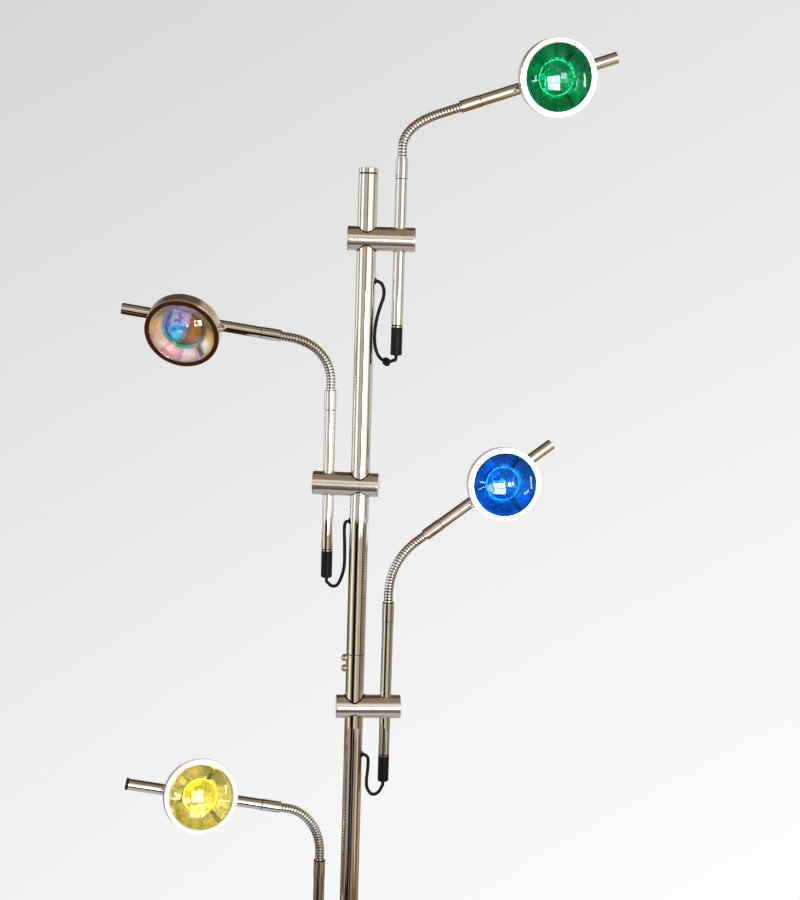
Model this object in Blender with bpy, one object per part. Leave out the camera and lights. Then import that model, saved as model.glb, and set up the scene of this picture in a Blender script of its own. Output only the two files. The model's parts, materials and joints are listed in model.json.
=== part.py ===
"""Floor lamp with four spot heads on one pole.

A straight tube stands in a round weighted base and is joined once at mid height. Four round clamps
sit on it one above the other, turned right and left in turn. Each is bored across twice, once for the
pole and once for an upright arm tube that slides and turns in it. The arm tube carries a gooseneck
between two ferrules, then a rod that passes behind the round head. A thin lead leaves the plug at the
foot of each arm tube and goes into the pole.

Metres, +Z up, origin at the middle of the base's underside, on the pole's axis. The lamp faces -Y.
"""

import math
from collections import namedtuple

import bmesh
import bpy
from mathutils import Matrix, Vector

MM = 0.001
DEGREE = math.pi / 180.0

# Clearances
GAP = 0.3 * MM
CUT_OVERRUN = 2.0 * MM
MERGE_DISTANCE = 0.0001 * MM

# Sides of the round shapes
BASE_SIDES = 32
HEAD_SIDES = 24
LENS_SIDES = 20
POLE_SIDES = 20
TUBE_SIDES = 12
NECK_SIDES = 8
HOLE_SIDES = 8
BALL_STEPS = 4
EDGE_STEPS = 2
DOME_STEPS = 2
SMOOTH_ANGLE = 30.0 * DEGREE

# Base
BASE_RADIUS = 150.0 * MM
BASE_HEIGHT = 24.0 * MM
BASE_EDGE_RADIUS = 6.0 * MM
BASE_COVER_WALL = 1.5 * MM
BASE_COVER_LIFT = 1.0 * MM
BASE_SOCKET_FLOOR = 6.0 * MM

# Pole
POLE_RADIUS = 12.5 * MM
POLE_WALL = 1.5 * MM
POLE_TOP = 1700.0 * MM
POLE_JOINT_HEIGHT = 1067.0 * MM
CAP_HEIGHT = 7.1 * MM
CAP_PLUG_DEPTH = 12.0 * MM
JOINER_REACH = 60.0 * MM
JOINER_WALL = 3.0 * MM

# Thumb screws under the pole joint
KNOB_BALL_RADIUS = 5.0 * MM
KNOB_BALL_OVERHANG = 1.2 * MM
KNOB_SHANK_RADIUS = 2.0 * MM
KNOB_DROPS = {"joint_knob_upper": 6.7 * MM, "joint_knob_lower": 20.8 * MM}

# Clamp
CLAMP_RADIUS = 16.0 * MM
CLAMP_INNER_END = 24.5 * MM
CLAMP_OUTER_END = 20.0 * MM
ARM_SPACING = 41.7 * MM
BUSH_WALL = 1.2 * MM
BUSH_HALF_HEIGHT = 7.0 * MM

# Arm tube and the plug at its foot
ARM_TUBE_RADIUS = 7.5 * MM
ARM_TUBE_WALL = 1.2 * MM
ARM_TUBE_LENGTH = 183.8 * MM
PLUG_RADIUS = 7.4 * MM
PLUG_LENGTH = 38.9 * MM
PLUG_SPIGOT_LENGTH = 14.0 * MM
PLUG_BORE_RADIUS = 4.2 * MM
PLUG_FLOOR = 2.5 * MM
PLUG_GROOVE_DEPTH = 0.6 * MM
PLUG_GROOVE_WIDTH = 1.3 * MM
PLUG_END_RADIUS = 1.5 * MM

# Ferrules
FERRULE_RADIUS = 7.9 * MM
FERRULE_LENGTH = 25.5 * MM
FERRULE_SOCKET_DEPTH = 5.0 * MM
FERRULE_BORE_RADIUS = 4.2 * MM
SPIGOT_LENGTH = 11.0 * MM

# Gooseneck
NECK_RADIUS = 6.2 * MM
NECK_RIB_DEPTH = 0.7 * MM
NECK_BORE_RADIUS = 3.6 * MM
NECK_FREE_LENGTH = 107.8 * MM
NECK_RIBS = 30
NECK_BORE_RINGS = 10

# Rod through the head
ROD_RADIUS = 7.5 * MM
ROD_LENGTH = 181.9 * MM
ROD_BORE_RADIUS = 4.6 * MM
ROD_END_WALL = 3.0 * MM
HEAD_FROM_FERRULE = 96.0 * MM

# Head, measured back from the flat face of its ring
HEAD_RADIUS = 48.0 * MM
HEAD_WALL = 1.6 * MM
CAN_DEPTH = 18.5 * MM
BOSS_RADIUS = 25.0 * MM
HEAD_DEPTH = 52.0 * MM
ROD_BEHIND_FACE = 36.5 * MM
BEZEL_THICKNESS = 2.0 * MM
BEZEL_SPIGOT_DEPTH = 3.0 * MM
BEZEL_SPIGOT_WALL = 1.2 * MM
LENS_VIEW_RADIUS = 41.0 * MM
LENS_FLANGE_THICKNESS = 2.6 * MM
LENS_THICKNESS = 2.4 * MM
LENS_RISE = 6.0 * MM
REFLECTOR_THICKNESS = 1.0 * MM
REFLECTOR_DEPTH = 9.7 * MM
LAMP_RADIUS = 22.5 * MM
LAMP_DOME_RISE = 4.0 * MM
LAMP_DEPTH = 28.0 * MM

# Leads
LEAD_RADIUS = 1.8 * MM
LEAD_CLEARANCE = 0.5 * MM
LEAD_HIDDEN_LENGTH = 46.0 * MM
LEAD_END_INSIDE = 4.0 * MM
LEAD_STRAIGHT_END = 1.0 * MM
LEAD_POINT_SPACING = 10.5 * MM
CURVE_STEPS = 12

# One arm: side is +1 on the right and -1 on the left. swing and reach_turn lean the clamp and the arm
# back from the lamp's plane, drop is how far the tube's foot hangs below the clamp, elevation is the
# rod's rise, bias moves the neck's bend to its foot, tilt turns the face up. lead_route is the free
# run of the lead, outwards from the pole's axis, towards the back, and up from the clamp's axis.
Arm = namedtuple(
    "Arm",
    "number side clamp_height swing reach_turn drop elevation bias tilt flipped hole_drop colour lead_route",
)
ARMS = (
    Arm(
        number=1,
        side=1,
        clamp_height=1611.6 * MM,
        swing=0.7 * DEGREE,
        reach_turn=4.4 * DEGREE,
        drop=107.7 * MM,
        elevation=19.3 * DEGREE,
        bias=2.49,
        tilt=-6.9 * DEGREE,
        flipped=False,
        hole_drop=52.4 * MM,
        colour=(0.0, 0.42, 0.14),
        lead_route=(
            (38.2, -2.0, -153.0),
            (29.4, -5.0, -154.8),
            (21.0, -8.0, -149.6),
            (15.8, -9.2, -139.9),
            (13.6, -9.2, -127.0),
            (13.8, -8.5, -114.0),
            (15.8, -6.5, -99.6),
            (19.4, -5.0, -85.5),
            (23.2, -3.0, -73.5),
            (23.6, -1.5, -63.7),
            (20.2, -0.5, -55.6),
        ),
    ),
    Arm(
        number=2,
        side=-1,
        clamp_height=1294.8 * MM,
        swing=4.8 * DEGREE,
        reach_turn=0.5 * DEGREE,
        drop=87.2 * MM,
        elevation=8.0 * DEGREE,
        bias=1.19,
        tilt=-27.8 * DEGREE,
        flipped=False,
        hole_drop=48.8 * MM,
        colour=(0.80, 0.72, 0.62),
        lead_route=(
            (39.6, 3.6, -133.0),
            (34.0, 3.0, -137.8),
            (26.8, 1.5, -135.5),
            (20.8, 0.0, -122.5),
            (18.0, -0.5, -106.5),
            (18.2, -0.5, -83.0),
            (19.2, 0.0, -60.5),
            (18.0, 0.0, -50.8),
        ),
    ),
    Arm(
        number=3,
        side=1,
        clamp_height=993.6 * MM,
        swing=4.6 * DEGREE,
        reach_turn=9.8 * DEGREE,
        drop=65.9 * MM,
        elevation=36.4 * DEGREE,
        bias=1.04,
        tilt=3.9 * DEGREE,
        flipped=False,
        hole_drop=67.0 * MM,
        colour=(0.01, 0.16, 0.75),
        lead_route=(
            (40.0, 2.8, -113.5),
            (35.4, 1.2, -121.0),
            (27.8, -1.0, -123.0),
            (21.2, -2.0, -115.5),
            (19.4, -2.0, -104.0),
            (20.8, -1.0, -84.0),
            (20.0, 0.0, -71.5),
        ),
    ),
    Arm(
        number=4,
        side=-1,
        clamp_height=690.0 * MM,
        swing=0.7 * DEGREE,
        reach_turn=-11.4 * DEGREE,
        drop=126.1 * MM,
        elevation=12.1 * DEGREE,
        bias=0.78,
        tilt=19.0 * DEGREE,
        flipped=True,
        hole_drop=62.0 * MM,
        colour=(0.85, 0.66, 0.03),
        lead_route=(
            (40.0, 0.5, -173.0),
            (35.2, 0.8, -178.6),
            (27.4, 0.3, -176.5),
            (21.0, -1.0, -162.0),
            (18.4, -1.0, -141.0),
            (18.2, -0.5, -113.0),
            (19.6, 0.0, -83.0),
            (19.2, 0.0, -66.5),
        ),
    ),
)

# Colour, roughness and metallic share of each finish
FINISHES = {
    "polished_steel": ((0.78, 0.76, 0.73), 0.08, 1.0),
    "brushed_steel": ((0.62, 0.58, 0.53), 0.28, 1.0),
    "cast_iron": ((0.08, 0.08, 0.08), 0.60, 1.0),
    "black_plastic": ((0.012, 0.012, 0.012), 0.35, 0.0),
    "black_rubber": ((0.015, 0.015, 0.015), 0.55, 0.0),
    "reflector": ((0.80, 0.78, 0.74), 0.22, 1.0),
}
GLASS_ROUGHNESS = 0.05
GLASS_TRANSMISSION = 0.9


def clear_scene():
    for old in list(bpy.data.objects):
        bpy.data.objects.remove(old, do_unlink=True)


def principled(name, colour, roughness, metallic, transmission=0.0):
    material = bpy.data.materials.new(name)
    material.use_nodes = True
    shader = material.node_tree.nodes["Principled BSDF"]
    shader.inputs["Base Color"].default_value = (*colour, 1.0)
    shader.inputs["Roughness"].default_value = roughness
    shader.inputs["Metallic"].default_value = metallic
    shader.inputs["Transmission Weight"].default_value = transmission
    return material


def empty(name, parent=None, location=(0, 0, 0), rotation=(0, 0, 0)):
    """A joint's frame. Its children turn or slide with it."""
    frame = bpy.data.objects.new(name, None)
    bpy.context.scene.collection.objects.link(frame)
    frame.parent = parent
    frame.location = location
    frame.rotation_euler = rotation
    return frame


def place(obj, parent, location=(0, 0, 0), rotation=(0, 0, 0), material=None):
    bpy.context.scene.collection.objects.link(obj)
    obj.parent = parent
    obj.location = location
    obj.rotation_euler = rotation
    if material:
        obj.data.materials.append(material)
    return obj


def smooth_rounds(mesh):
    mesh.shade_smooth()
    mesh.set_sharp_from_angle(angle=SMOOTH_ANGLE)


def turned(name, profile, sides, closed_loop=False):
    """A solid of revolution about Z from (radius, height) points.

    An open profile starts and ends on the axis. A closed one is a ring's section.
    """
    shape = bmesh.new()
    points = [shape.verts.new((radius, 0.0, height)) for radius, height in profile]
    edges = [shape.edges.new(pair) for pair in zip(points, points[1:])]
    if closed_loop:
        edges.append(shape.edges.new((points[-1], points[0])))
    bmesh.ops.spin(
        shape,
        geom=points + edges,
        cent=(0, 0, 0),
        axis=(0, 0, 1),
        angle=math.tau,
        steps=sides,
        use_merge=True,
    )
    bmesh.ops.remove_doubles(shape, verts=shape.verts[:], dist=MERGE_DISTANCE)
    bmesh.ops.recalc_face_normals(shape, faces=shape.faces[:])
    mesh = bpy.data.meshes.new(name)
    shape.to_mesh(mesh)
    shape.free()
    smooth_rounds(mesh)
    return bpy.data.objects.new(name, mesh)


def tube(name, outer_radius, inner_radius, low, high, sides):
    section = ((inner_radius, low), (outer_radius, low), (outer_radius, high), (inner_radius, high))
    return turned(name, section, sides, closed_loop=True)


def cutter(name, radius, low, high, sides, parent, location=(0, 0, 0), rotation=(0, 0, 0)):
    """A plain cylinder along its own Z that only cuts others."""
    rod = turned(name, ((0, low), (radius, low), (radius, high), (0, high)), sides)
    place(rod, parent, location, rotation)
    rod.hide_render = True
    rod.display_type = "WIRE"
    return rod


def cut(obj, tool):
    modifier = obj.modifiers.new("cut_" + tool.name, "BOOLEAN")
    modifier.operation = "DIFFERENCE"
    modifier.solver = "EXACT"
    modifier.object = tool


def arc(centre_radius, centre_height, radius, start, end, steps):
    """Points of a profile along an arc, angles from the +radius direction."""
    angles = [start + (end - start) * step / steps for step in range(steps + 1)]
    return [
        (centre_radius + radius * math.cos(angle), centre_height + radius * math.sin(angle))
        for angle in angles
    ]


def dome(rim_radius, rim_height, rise):
    """Profile points of a shallow dome, from its rim to the axis."""
    sphere = (rim_radius**2 + rise**2) / (2.0 * rise)
    points = []
    for step in range(DOME_STEPS + 1):
        radius = rim_radius * (1.0 - step / DOME_STEPS)
        drop = sphere - math.sqrt(sphere**2 - radius**2)
        points.append((radius, rim_height + rise - drop))
    return points


def make_base(stand, finish):
    inner_radius = BASE_RADIUS - BASE_COVER_WALL - GAP
    weight_top = BASE_HEIGHT - BASE_COVER_WALL - GAP
    socket_radius = POLE_RADIUS + GAP
    weight = turned(
        "base_weight",
        (
            (0, 0),
            (inner_radius - BASE_COVER_WALL, 0),
            (inner_radius, BASE_COVER_WALL),
            (inner_radius, weight_top - BASE_EDGE_RADIUS),
            (inner_radius - BASE_EDGE_RADIUS, weight_top),
            (socket_radius, weight_top),
            (socket_radius, BASE_SOCKET_FLOOR),
            (0, BASE_SOCKET_FLOOR),
        ),
        BASE_SIDES,
    )
    place(weight, stand, material=finish["cast_iron"])

    edge_centre = (BASE_RADIUS - BASE_EDGE_RADIUS, BASE_HEIGHT - BASE_EDGE_RADIUS)
    outer = arc(*edge_centre, BASE_EDGE_RADIUS, 0, math.pi / 2, EDGE_STEPS)
    inner = arc(*edge_centre, BASE_EDGE_RADIUS - BASE_COVER_WALL, math.pi / 2, 0, EDGE_STEPS)
    cover = turned(
        "base_cover",
        [(BASE_RADIUS, BASE_COVER_LIFT)]
        + outer
        + [(socket_radius, BASE_HEIGHT), (socket_radius, BASE_HEIGHT - BASE_COVER_WALL)]
        + inner
        + [(BASE_RADIUS - BASE_COVER_WALL, BASE_COVER_LIFT)],
        BASE_SIDES,
        closed_loop=True,
    )
    place(cover, stand, material=finish["brushed_steel"])


def make_pole(stand, finish):
    bore = POLE_RADIUS - POLE_WALL
    lower = tube(
        "pole_lower", POLE_RADIUS, bore, BASE_SOCKET_FLOOR + GAP, POLE_JOINT_HEIGHT - GAP / 2, POLE_SIDES
    )
    place(lower, stand, material=finish["polished_steel"])
    upper_top = POLE_TOP - CAP_HEIGHT - GAP
    upper = tube("pole_upper", POLE_RADIUS, bore, POLE_JOINT_HEIGHT + GAP / 2, upper_top, POLE_SIDES)
    place(upper, stand, material=finish["polished_steel"])
    joiner_radius = bore - GAP
    joiner = tube(
        "pole_joiner",
        joiner_radius,
        joiner_radius - JOINER_WALL,
        POLE_JOINT_HEIGHT - JOINER_REACH,
        POLE_JOINT_HEIGHT + JOINER_REACH,
        POLE_SIDES,
    )
    place(joiner, stand, material=finish["brushed_steel"])
    cap_foot = POLE_TOP - CAP_HEIGHT
    cap = turned(
        "pole_cap",
        (
            (0, cap_foot - CAP_PLUG_DEPTH),
            (joiner_radius, cap_foot - CAP_PLUG_DEPTH),
            (joiner_radius, cap_foot),
            (POLE_RADIUS, cap_foot),
            (POLE_RADIUS, POLE_TOP),
            (0, POLE_TOP),
        ),
        POLE_SIDES,
    )
    place(cap, stand, material=finish["polished_steel"])
    for arm in ARMS:
        height = arm.clamp_height - arm.hole_drop
        hole = cutter(
            f"lead_hole_{arm.number}",
            LEAD_RADIUS + LEAD_CLEARANCE,
            bore - CUT_OVERRUN,
            POLE_RADIUS + CUT_OVERRUN,
            HOLE_SIDES,
            stand,
            location=(0, 0, height),
            rotation=(0, arm.side * math.pi / 2, 0),
        )
        cut(upper if height > POLE_JOINT_HEIGHT else lower, hole)
    return lower, joiner


def make_knobs(stand, finish, pole_lower, joiner):
    shank_end = POLE_RADIUS - POLE_WALL - GAP - JOINER_WALL
    seat = POLE_RADIUS + GAP
    ball_centre = seat + KNOB_BALL_OVERHANG
    start = -math.asin(KNOB_BALL_OVERHANG / KNOB_BALL_RADIUS)
    ball = arc(0, ball_centre, KNOB_BALL_RADIUS, start, math.pi / 2, BALL_STEPS)
    for name, drop in KNOB_DROPS.items():
        height = POLE_JOINT_HEIGHT - drop
        frame = empty(name + "_axis", stand, (0, 0, height), (0, -math.pi / 2, 0))
        knob = turned(
            name,
            [(0, shank_end), (KNOB_SHANK_RADIUS, shank_end), (KNOB_SHANK_RADIUS, seat)]
            + ball[:-1]
            + [(0, ball_centre + KNOB_BALL_RADIUS)],
            TUBE_SIDES,
        )
        place(knob, frame, material=finish["polished_steel"])
        hole = cutter(
            name + "_hole",
            KNOB_SHANK_RADIUS + GAP,
            shank_end - CUT_OVERRUN,
            POLE_RADIUS + CUT_OVERRUN,
            HOLE_SIDES,
            frame,
        )
        cut(pole_lower, hole)
        cut(joiner, hole)


def make_clamp(arm, swivel, finish):
    clamp = turned(
        f"clamp_{arm.number}",
        (
            (0, -CLAMP_INNER_END),
            (CLAMP_RADIUS, -CLAMP_INNER_END),
            (CLAMP_RADIUS, ARM_SPACING + CLAMP_OUTER_END),
            (0, ARM_SPACING + CLAMP_OUTER_END),
        ),
        POLE_SIDES,
    )
    place(clamp, swivel, rotation=(0, math.pi / 2, 0), material=finish["brushed_steel"])
    bush_bore = POLE_RADIUS + GAP
    bush_radius = bush_bore + BUSH_WALL
    reach = CLAMP_RADIUS + CUT_OVERRUN
    pole_bore = cutter(
        f"clamp_pole_bore_{arm.number}", bush_radius + GAP, -reach, reach, POLE_SIDES, swivel
    )
    arm_bore = cutter(
        f"clamp_arm_bore_{arm.number}",
        ARM_TUBE_RADIUS + GAP,
        -reach,
        reach,
        TUBE_SIDES,
        swivel,
        location=(ARM_SPACING, 0, 0),
    )
    cut(clamp, pole_bore)
    cut(clamp, arm_bore)
    bush = tube(
        f"clamp_bush_{arm.number}", bush_radius, bush_bore, -BUSH_HALF_HEIGHT, BUSH_HALF_HEIGHT, POLE_SIDES
    )
    place(bush, swivel, material=finish["black_plastic"])


def make_arm_tube(arm, turn, finish):
    bore = ARM_TUBE_RADIUS - ARM_TUBE_WALL
    top = ARM_TUBE_LENGTH - arm.drop
    arm_tube = tube(f"arm_tube_{arm.number}", ARM_TUBE_RADIUS, bore, -arm.drop, top, TUBE_SIDES)
    place(arm_tube, turn, material=finish["polished_steel"])

    spigot = bore - GAP
    groove = PLUG_RADIUS - PLUG_GROOVE_DEPTH
    foot = -PLUG_LENGTH
    lead_bore = LEAD_RADIUS + LEAD_CLEARANCE
    plug = turned(
        f"end_plug_{arm.number}",
        (
            (PLUG_BORE_RADIUS, PLUG_SPIGOT_LENGTH),
            (spigot, PLUG_SPIGOT_LENGTH),
            (spigot, -GAP),
            (groove, -GAP),
            (groove, -GAP - PLUG_GROOVE_WIDTH),
            (PLUG_RADIUS, -GAP - PLUG_GROOVE_WIDTH),
            (PLUG_RADIUS, foot + PLUG_END_RADIUS),
            (PLUG_RADIUS - PLUG_END_RADIUS, foot),
            (lead_bore, foot),
            (lead_bore, foot + PLUG_FLOOR),
            (PLUG_BORE_RADIUS, foot + PLUG_FLOOR),
        ),
        TUBE_SIDES,
        closed_loop=True,
    )
    place(plug, turn, location=(0, 0, -arm.drop), material=finish["black_plastic"])

    lower = turned(
        f"lower_ferrule_{arm.number}",
        (
            (FERRULE_BORE_RADIUS, -SPIGOT_LENGTH),
            (spigot, -SPIGOT_LENGTH),
            (spigot, GAP),
            (FERRULE_RADIUS, GAP),
            (FERRULE_RADIUS, FERRULE_LENGTH),
            (NECK_RADIUS + GAP, FERRULE_LENGTH),
            (NECK_RADIUS + GAP, FERRULE_LENGTH - FERRULE_SOCKET_DEPTH),
            (FERRULE_BORE_RADIUS, FERRULE_LENGTH - FERRULE_SOCKET_DEPTH),
        ),
        TUBE_SIDES,
        closed_loop=True,
    )
    place(lower, turn, location=(0, 0, top), material=finish["polished_steel"])


def neck_path(arm):
    """Points of the gooseneck's middle line in the arm's plane, and its heading at each.

    It starts upright in the lower ferrule and ends along the rod, straight for one diameter at each
    end, and turns between them, faster at its foot the larger the bias is.
    """
    seated = FERRULE_SOCKET_DEPTH - GAP
    length = NECK_FREE_LENGTH + 2.0 * seated
    straight = seated + 2.0 * NECK_RADIUS
    count = 2 * NECK_RIBS
    step = length / count
    point = Vector((0.0, ARM_TUBE_LENGTH - arm.drop + FERRULE_LENGTH - seated))
    path = []
    for index in range(count + 1):
        path.append((point.copy(), neck_heading(arm, index * step, length, straight)))
        middle = neck_heading(arm, (index + 0.5) * step, length, straight)
        point += step * Vector((math.cos(middle), math.sin(middle)))
    return path


def neck_heading(arm, distance, length, straight):
    share = (distance - straight) / (length - 2.0 * straight)
    share = min(max(share, 0.0), 1.0)
    turned_share = 1.0 - (1.0 - share) ** arm.bias
    return math.pi / 2 - (math.pi / 2 - arm.elevation) * turned_share


def neck_pivot(arm):
    """The middle of the gooseneck's free line, about which a small bend turns the rod."""
    points = [point for point, _ in neck_path(arm)]
    return sum(points, Vector((0.0, 0.0))) / len(points)


def ring(shape, point, heading, radius):
    """A ring of vertices square to a line in the arm's plane."""
    across = Vector((-math.sin(heading), 0.0, math.cos(heading)))
    side = Vector((0.0, 1.0, 0.0))
    centre = Vector((point.x, 0.0, point.y))
    verts = []
    for index in range(NECK_SIDES):
        angle = math.tau * (index + 0.5) / NECK_SIDES
        verts.append(shape.verts.new(centre + radius * (math.cos(angle) * across + math.sin(angle) * side)))
    return verts


def bridge(shape, rings):
    for first, second in zip(rings, rings[1:]):
        for index in range(NECK_SIDES):
            after = (index + 1) % NECK_SIDES
            shape.faces.new((first[index], first[after], second[after], second[index]))


def make_gooseneck(arm, turn, finish):
    path = neck_path(arm)
    shape = bmesh.new()
    ribs = []
    for index, (point, heading) in enumerate(path):
        radius = NECK_RADIUS if index % 2 else NECK_RADIUS - NECK_RIB_DEPTH
        ribs.append(ring(shape, point, heading, radius))
    stride = len(path) // NECK_BORE_RINGS
    inner_path = path[:-1:stride] + [path[-1]]
    bore = [ring(shape, point, heading, NECK_BORE_RADIUS) for point, heading in inner_path]
    bridge(shape, ribs)
    bridge(shape, bore)
    bridge(shape, (ribs[0], bore[0]))
    bridge(shape, (ribs[-1], bore[-1]))
    bmesh.ops.recalc_face_normals(shape, faces=shape.faces[:])
    mesh = bpy.data.meshes.new(f"gooseneck_{arm.number}")
    shape.to_mesh(mesh)
    shape.free()
    smooth_rounds(mesh)
    neck = bpy.data.objects.new(mesh.name, mesh)
    place(neck, turn, material=finish["polished_steel"])


def make_upper_ferrule(arm, bend, location, finish):
    spigot_bore = ROD_RADIUS - ARM_TUBE_WALL
    upper = turned(
        f"upper_ferrule_{arm.number}",
        (
            (NECK_RADIUS + GAP, 0),
            (FERRULE_RADIUS, 0),
            (FERRULE_RADIUS, FERRULE_LENGTH),
            (spigot_bore, FERRULE_LENGTH),
            (spigot_bore, FERRULE_LENGTH - SPIGOT_LENGTH - GAP),
            (FERRULE_BORE_RADIUS, FERRULE_LENGTH - SPIGOT_LENGTH - GAP),
            (FERRULE_BORE_RADIUS, FERRULE_SOCKET_DEPTH),
            (NECK_RADIUS + GAP, FERRULE_SOCKET_DEPTH),
        ),
        TUBE_SIDES,
        closed_loop=True,
    )
    rotation = (0, math.pi / 2 - arm.elevation, 0)
    place(upper, bend, location, rotation, finish["polished_steel"])


def make_rod(arm, roll, finish):
    spigot = ROD_RADIUS - ARM_TUBE_WALL - GAP
    rod = turned(
        f"head_rod_{arm.number}",
        (
            (ROD_BORE_RADIUS, -SPIGOT_LENGTH),
            (spigot, -SPIGOT_LENGTH),
            (spigot, GAP),
            (ROD_RADIUS, GAP),
            (ROD_RADIUS, ROD_LENGTH),
            (0, ROD_LENGTH),
            (0, ROD_LENGTH - ROD_END_WALL),
            (ROD_BORE_RADIUS, ROD_LENGTH - ROD_END_WALL),
        ),
        TUBE_SIDES,
        closed_loop=True,
    )
    place(rod, roll, rotation=(0, math.pi / 2, 0), material=finish["polished_steel"])


def make_head(arm, head, rod_hole, finish, glass):
    """The head's own Z points out of its face, which lies at zero."""
    can_bore = HEAD_RADIUS - HEAD_WALL
    front = -BEZEL_THICKNESS - GAP
    boss_bore = BOSS_RADIUS - HEAD_WALL
    housing = turned(
        f"head_housing_{arm.number}",
        (
            (0, -HEAD_DEPTH),
            (BOSS_RADIUS, -HEAD_DEPTH),
            (BOSS_RADIUS, -CAN_DEPTH),
            (HEAD_RADIUS, -CAN_DEPTH),
            (HEAD_RADIUS, front),
            (can_bore, front),
            (can_bore, HEAD_WALL - CAN_DEPTH),
            (boss_bore, HEAD_WALL - CAN_DEPTH),
            (boss_bore, HEAD_WALL - HEAD_DEPTH),
            (0, HEAD_WALL - HEAD_DEPTH),
        ),
        HEAD_SIDES,
    )
    place(housing, head, material=finish["brushed_steel"])
    cut(housing, rod_hole)

    spigot = can_bore - GAP
    spigot_bore = spigot - BEZEL_SPIGOT_WALL
    bezel = turned(
        f"bezel_{arm.number}",
        (
            (LENS_VIEW_RADIUS, 0),
            (HEAD_RADIUS, 0),
            (HEAD_RADIUS, -BEZEL_THICKNESS),
            (spigot, -BEZEL_THICKNESS),
            (spigot, -BEZEL_THICKNESS - BEZEL_SPIGOT_DEPTH),
            (spigot_bore, -BEZEL_THICKNESS - BEZEL_SPIGOT_DEPTH),
            (spigot_bore, -BEZEL_THICKNESS),
            (LENS_VIEW_RADIUS, -BEZEL_THICKNESS),
        ),
        HEAD_SIDES,
        closed_loop=True,
    )
    place(bezel, head, material=finish["polished_steel"])

    lens_back = front - LENS_FLANGE_THICKNESS
    flat_share = math.cos(math.pi / HEAD_SIDES)
    flange = spigot_bore * flat_share - GAP
    dome_rim = LENS_VIEW_RADIUS * flat_share - GAP
    rim_height = -BEZEL_THICKNESS / 2
    outer = dome(dome_rim, rim_height, LENS_RISE)
    inner = dome(dome_rim - LENS_THICKNESS, rim_height - LENS_THICKNESS, LENS_RISE)
    lens = turned(
        f"lens_{arm.number}",
        [(dome_rim - LENS_THICKNESS, lens_back), (flange, lens_back), (flange, front)]
        + [(dome_rim, front)]
        + outer
        + inner[::-1],
        LENS_SIDES,
        closed_loop=True,
    )
    place(lens, head, material=glass)

    lip_front = min(lens_back, -BEZEL_THICKNESS - BEZEL_SPIGOT_DEPTH) - GAP
    lip = can_bore * flat_share - GAP
    mouth = lip_front - REFLECTOR_DEPTH
    lamp = turned(
        f"lamp_{arm.number}",
        dome(LAMP_RADIUS, mouth, LAMP_DOME_RISE)[::-1]
        + [
            (lip, lip_front),
            (lip, lip_front - REFLECTOR_THICKNESS),
            (LAMP_RADIUS, mouth - REFLECTOR_THICKNESS),
            (LAMP_RADIUS, -LAMP_DEPTH),
            (0, -LAMP_DEPTH),
        ],
        LENS_SIDES,
    )
    place(lamp, head, material=finish["reflector"])


def smooth_curve(points, steps):
    """A smooth curve through the points, with this many steps from each to the next."""
    ends = [2.0 * points[0] - points[1]] + points + [2.0 * points[-1] - points[-2]]
    curve = []
    for before, start, end, after in zip(ends, ends[1:], ends[2:], ends[3:]):
        for step in range(steps):
            curve.append(catmull(before, start, end, after, step / steps))
    return curve + [points[-1]]


def catmull(before, start, end, after, share):
    return 0.5 * (
        2.0 * start
        + (end - before) * share
        + (2.0 * before - 5.0 * start + 4.0 * end - after) * share**2
        + (3.0 * start - before - 3.0 * end + after) * share**3
    )


def evenly_spaced(line, spacing):
    """Points of a line about this far apart, with both its ends."""
    total = sum((second - first).length for first, second in zip(line, line[1:]))
    count = max(round(total / spacing), 1)
    kept = [line[0]]
    travelled = 0.0
    for first, second in zip(line, line[1:]):
        travelled += (second - first).length
        if travelled >= total * len(kept) / count and len(kept) < count:
            kept.append(second)
    return kept + [line[-1]], total


def lead_points(arm):
    """The lead's middle line: down out of the plug, round its free run, and straight into the pole."""
    angle = arm.swing if arm.side > 0 else math.pi - arm.swing
    tube_x = ARM_SPACING * math.cos(angle)
    tube_y = ARM_SPACING * math.sin(angle)
    foot = arm.clamp_height - arm.drop - PLUG_LENGTH
    hole = arm.clamp_height - arm.hole_drop
    top = Vector((tube_x, tube_y, foot + LEAD_HIDDEN_LENGTH))
    mouth = Vector((tube_x, tube_y, foot - LEAD_STRAIGHT_END))
    entry = Vector((arm.side * (POLE_RADIUS + LEAD_STRAIGHT_END), 0, hole))
    inside = Vector((arm.side * (POLE_RADIUS - LEAD_END_INSIDE), 0, hole))
    free = [
        Vector((arm.side * out * MM, back * MM, arm.clamp_height + up * MM))
        for out, back, up in arm.lead_route
    ]
    hidden_length = (mouth - top).length
    count = round(hidden_length / LEAD_POINT_SPACING)
    hidden = [top.lerp(mouth, index / count) for index in range(count)]
    curve = smooth_curve([top, mouth] + free + [entry, inside], CURVE_STEPS)
    bent, bent_length = evenly_spaced(curve[CURVE_STEPS:-CURVE_STEPS], LEAD_POINT_SPACING)
    return hidden + bent + [inside], hidden_length + bent_length + (inside - entry).length


def make_lead(arm, stand, finish):
    points, length = lead_points(arm)
    curve = bpy.data.curves.new(f"lead_{arm.number}", "CURVE")
    curve.dimensions = "3D"
    curve.bevel_depth = LEAD_RADIUS
    curve.bevel_resolution = 2
    curve.use_fill_caps = True
    spline = curve.splines.new("POLY")
    spline.points.add(len(points) - 1)
    for target, point in zip(spline.points, points):
        target.co = (*point, 1.0)
    lead = bpy.data.objects.new(curve.name, curve)
    place(lead, stand, material=finish["black_rubber"])
    print(f"lead {arm.number}: {length / MM:.1f} mm long, {len(points)} points")


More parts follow.
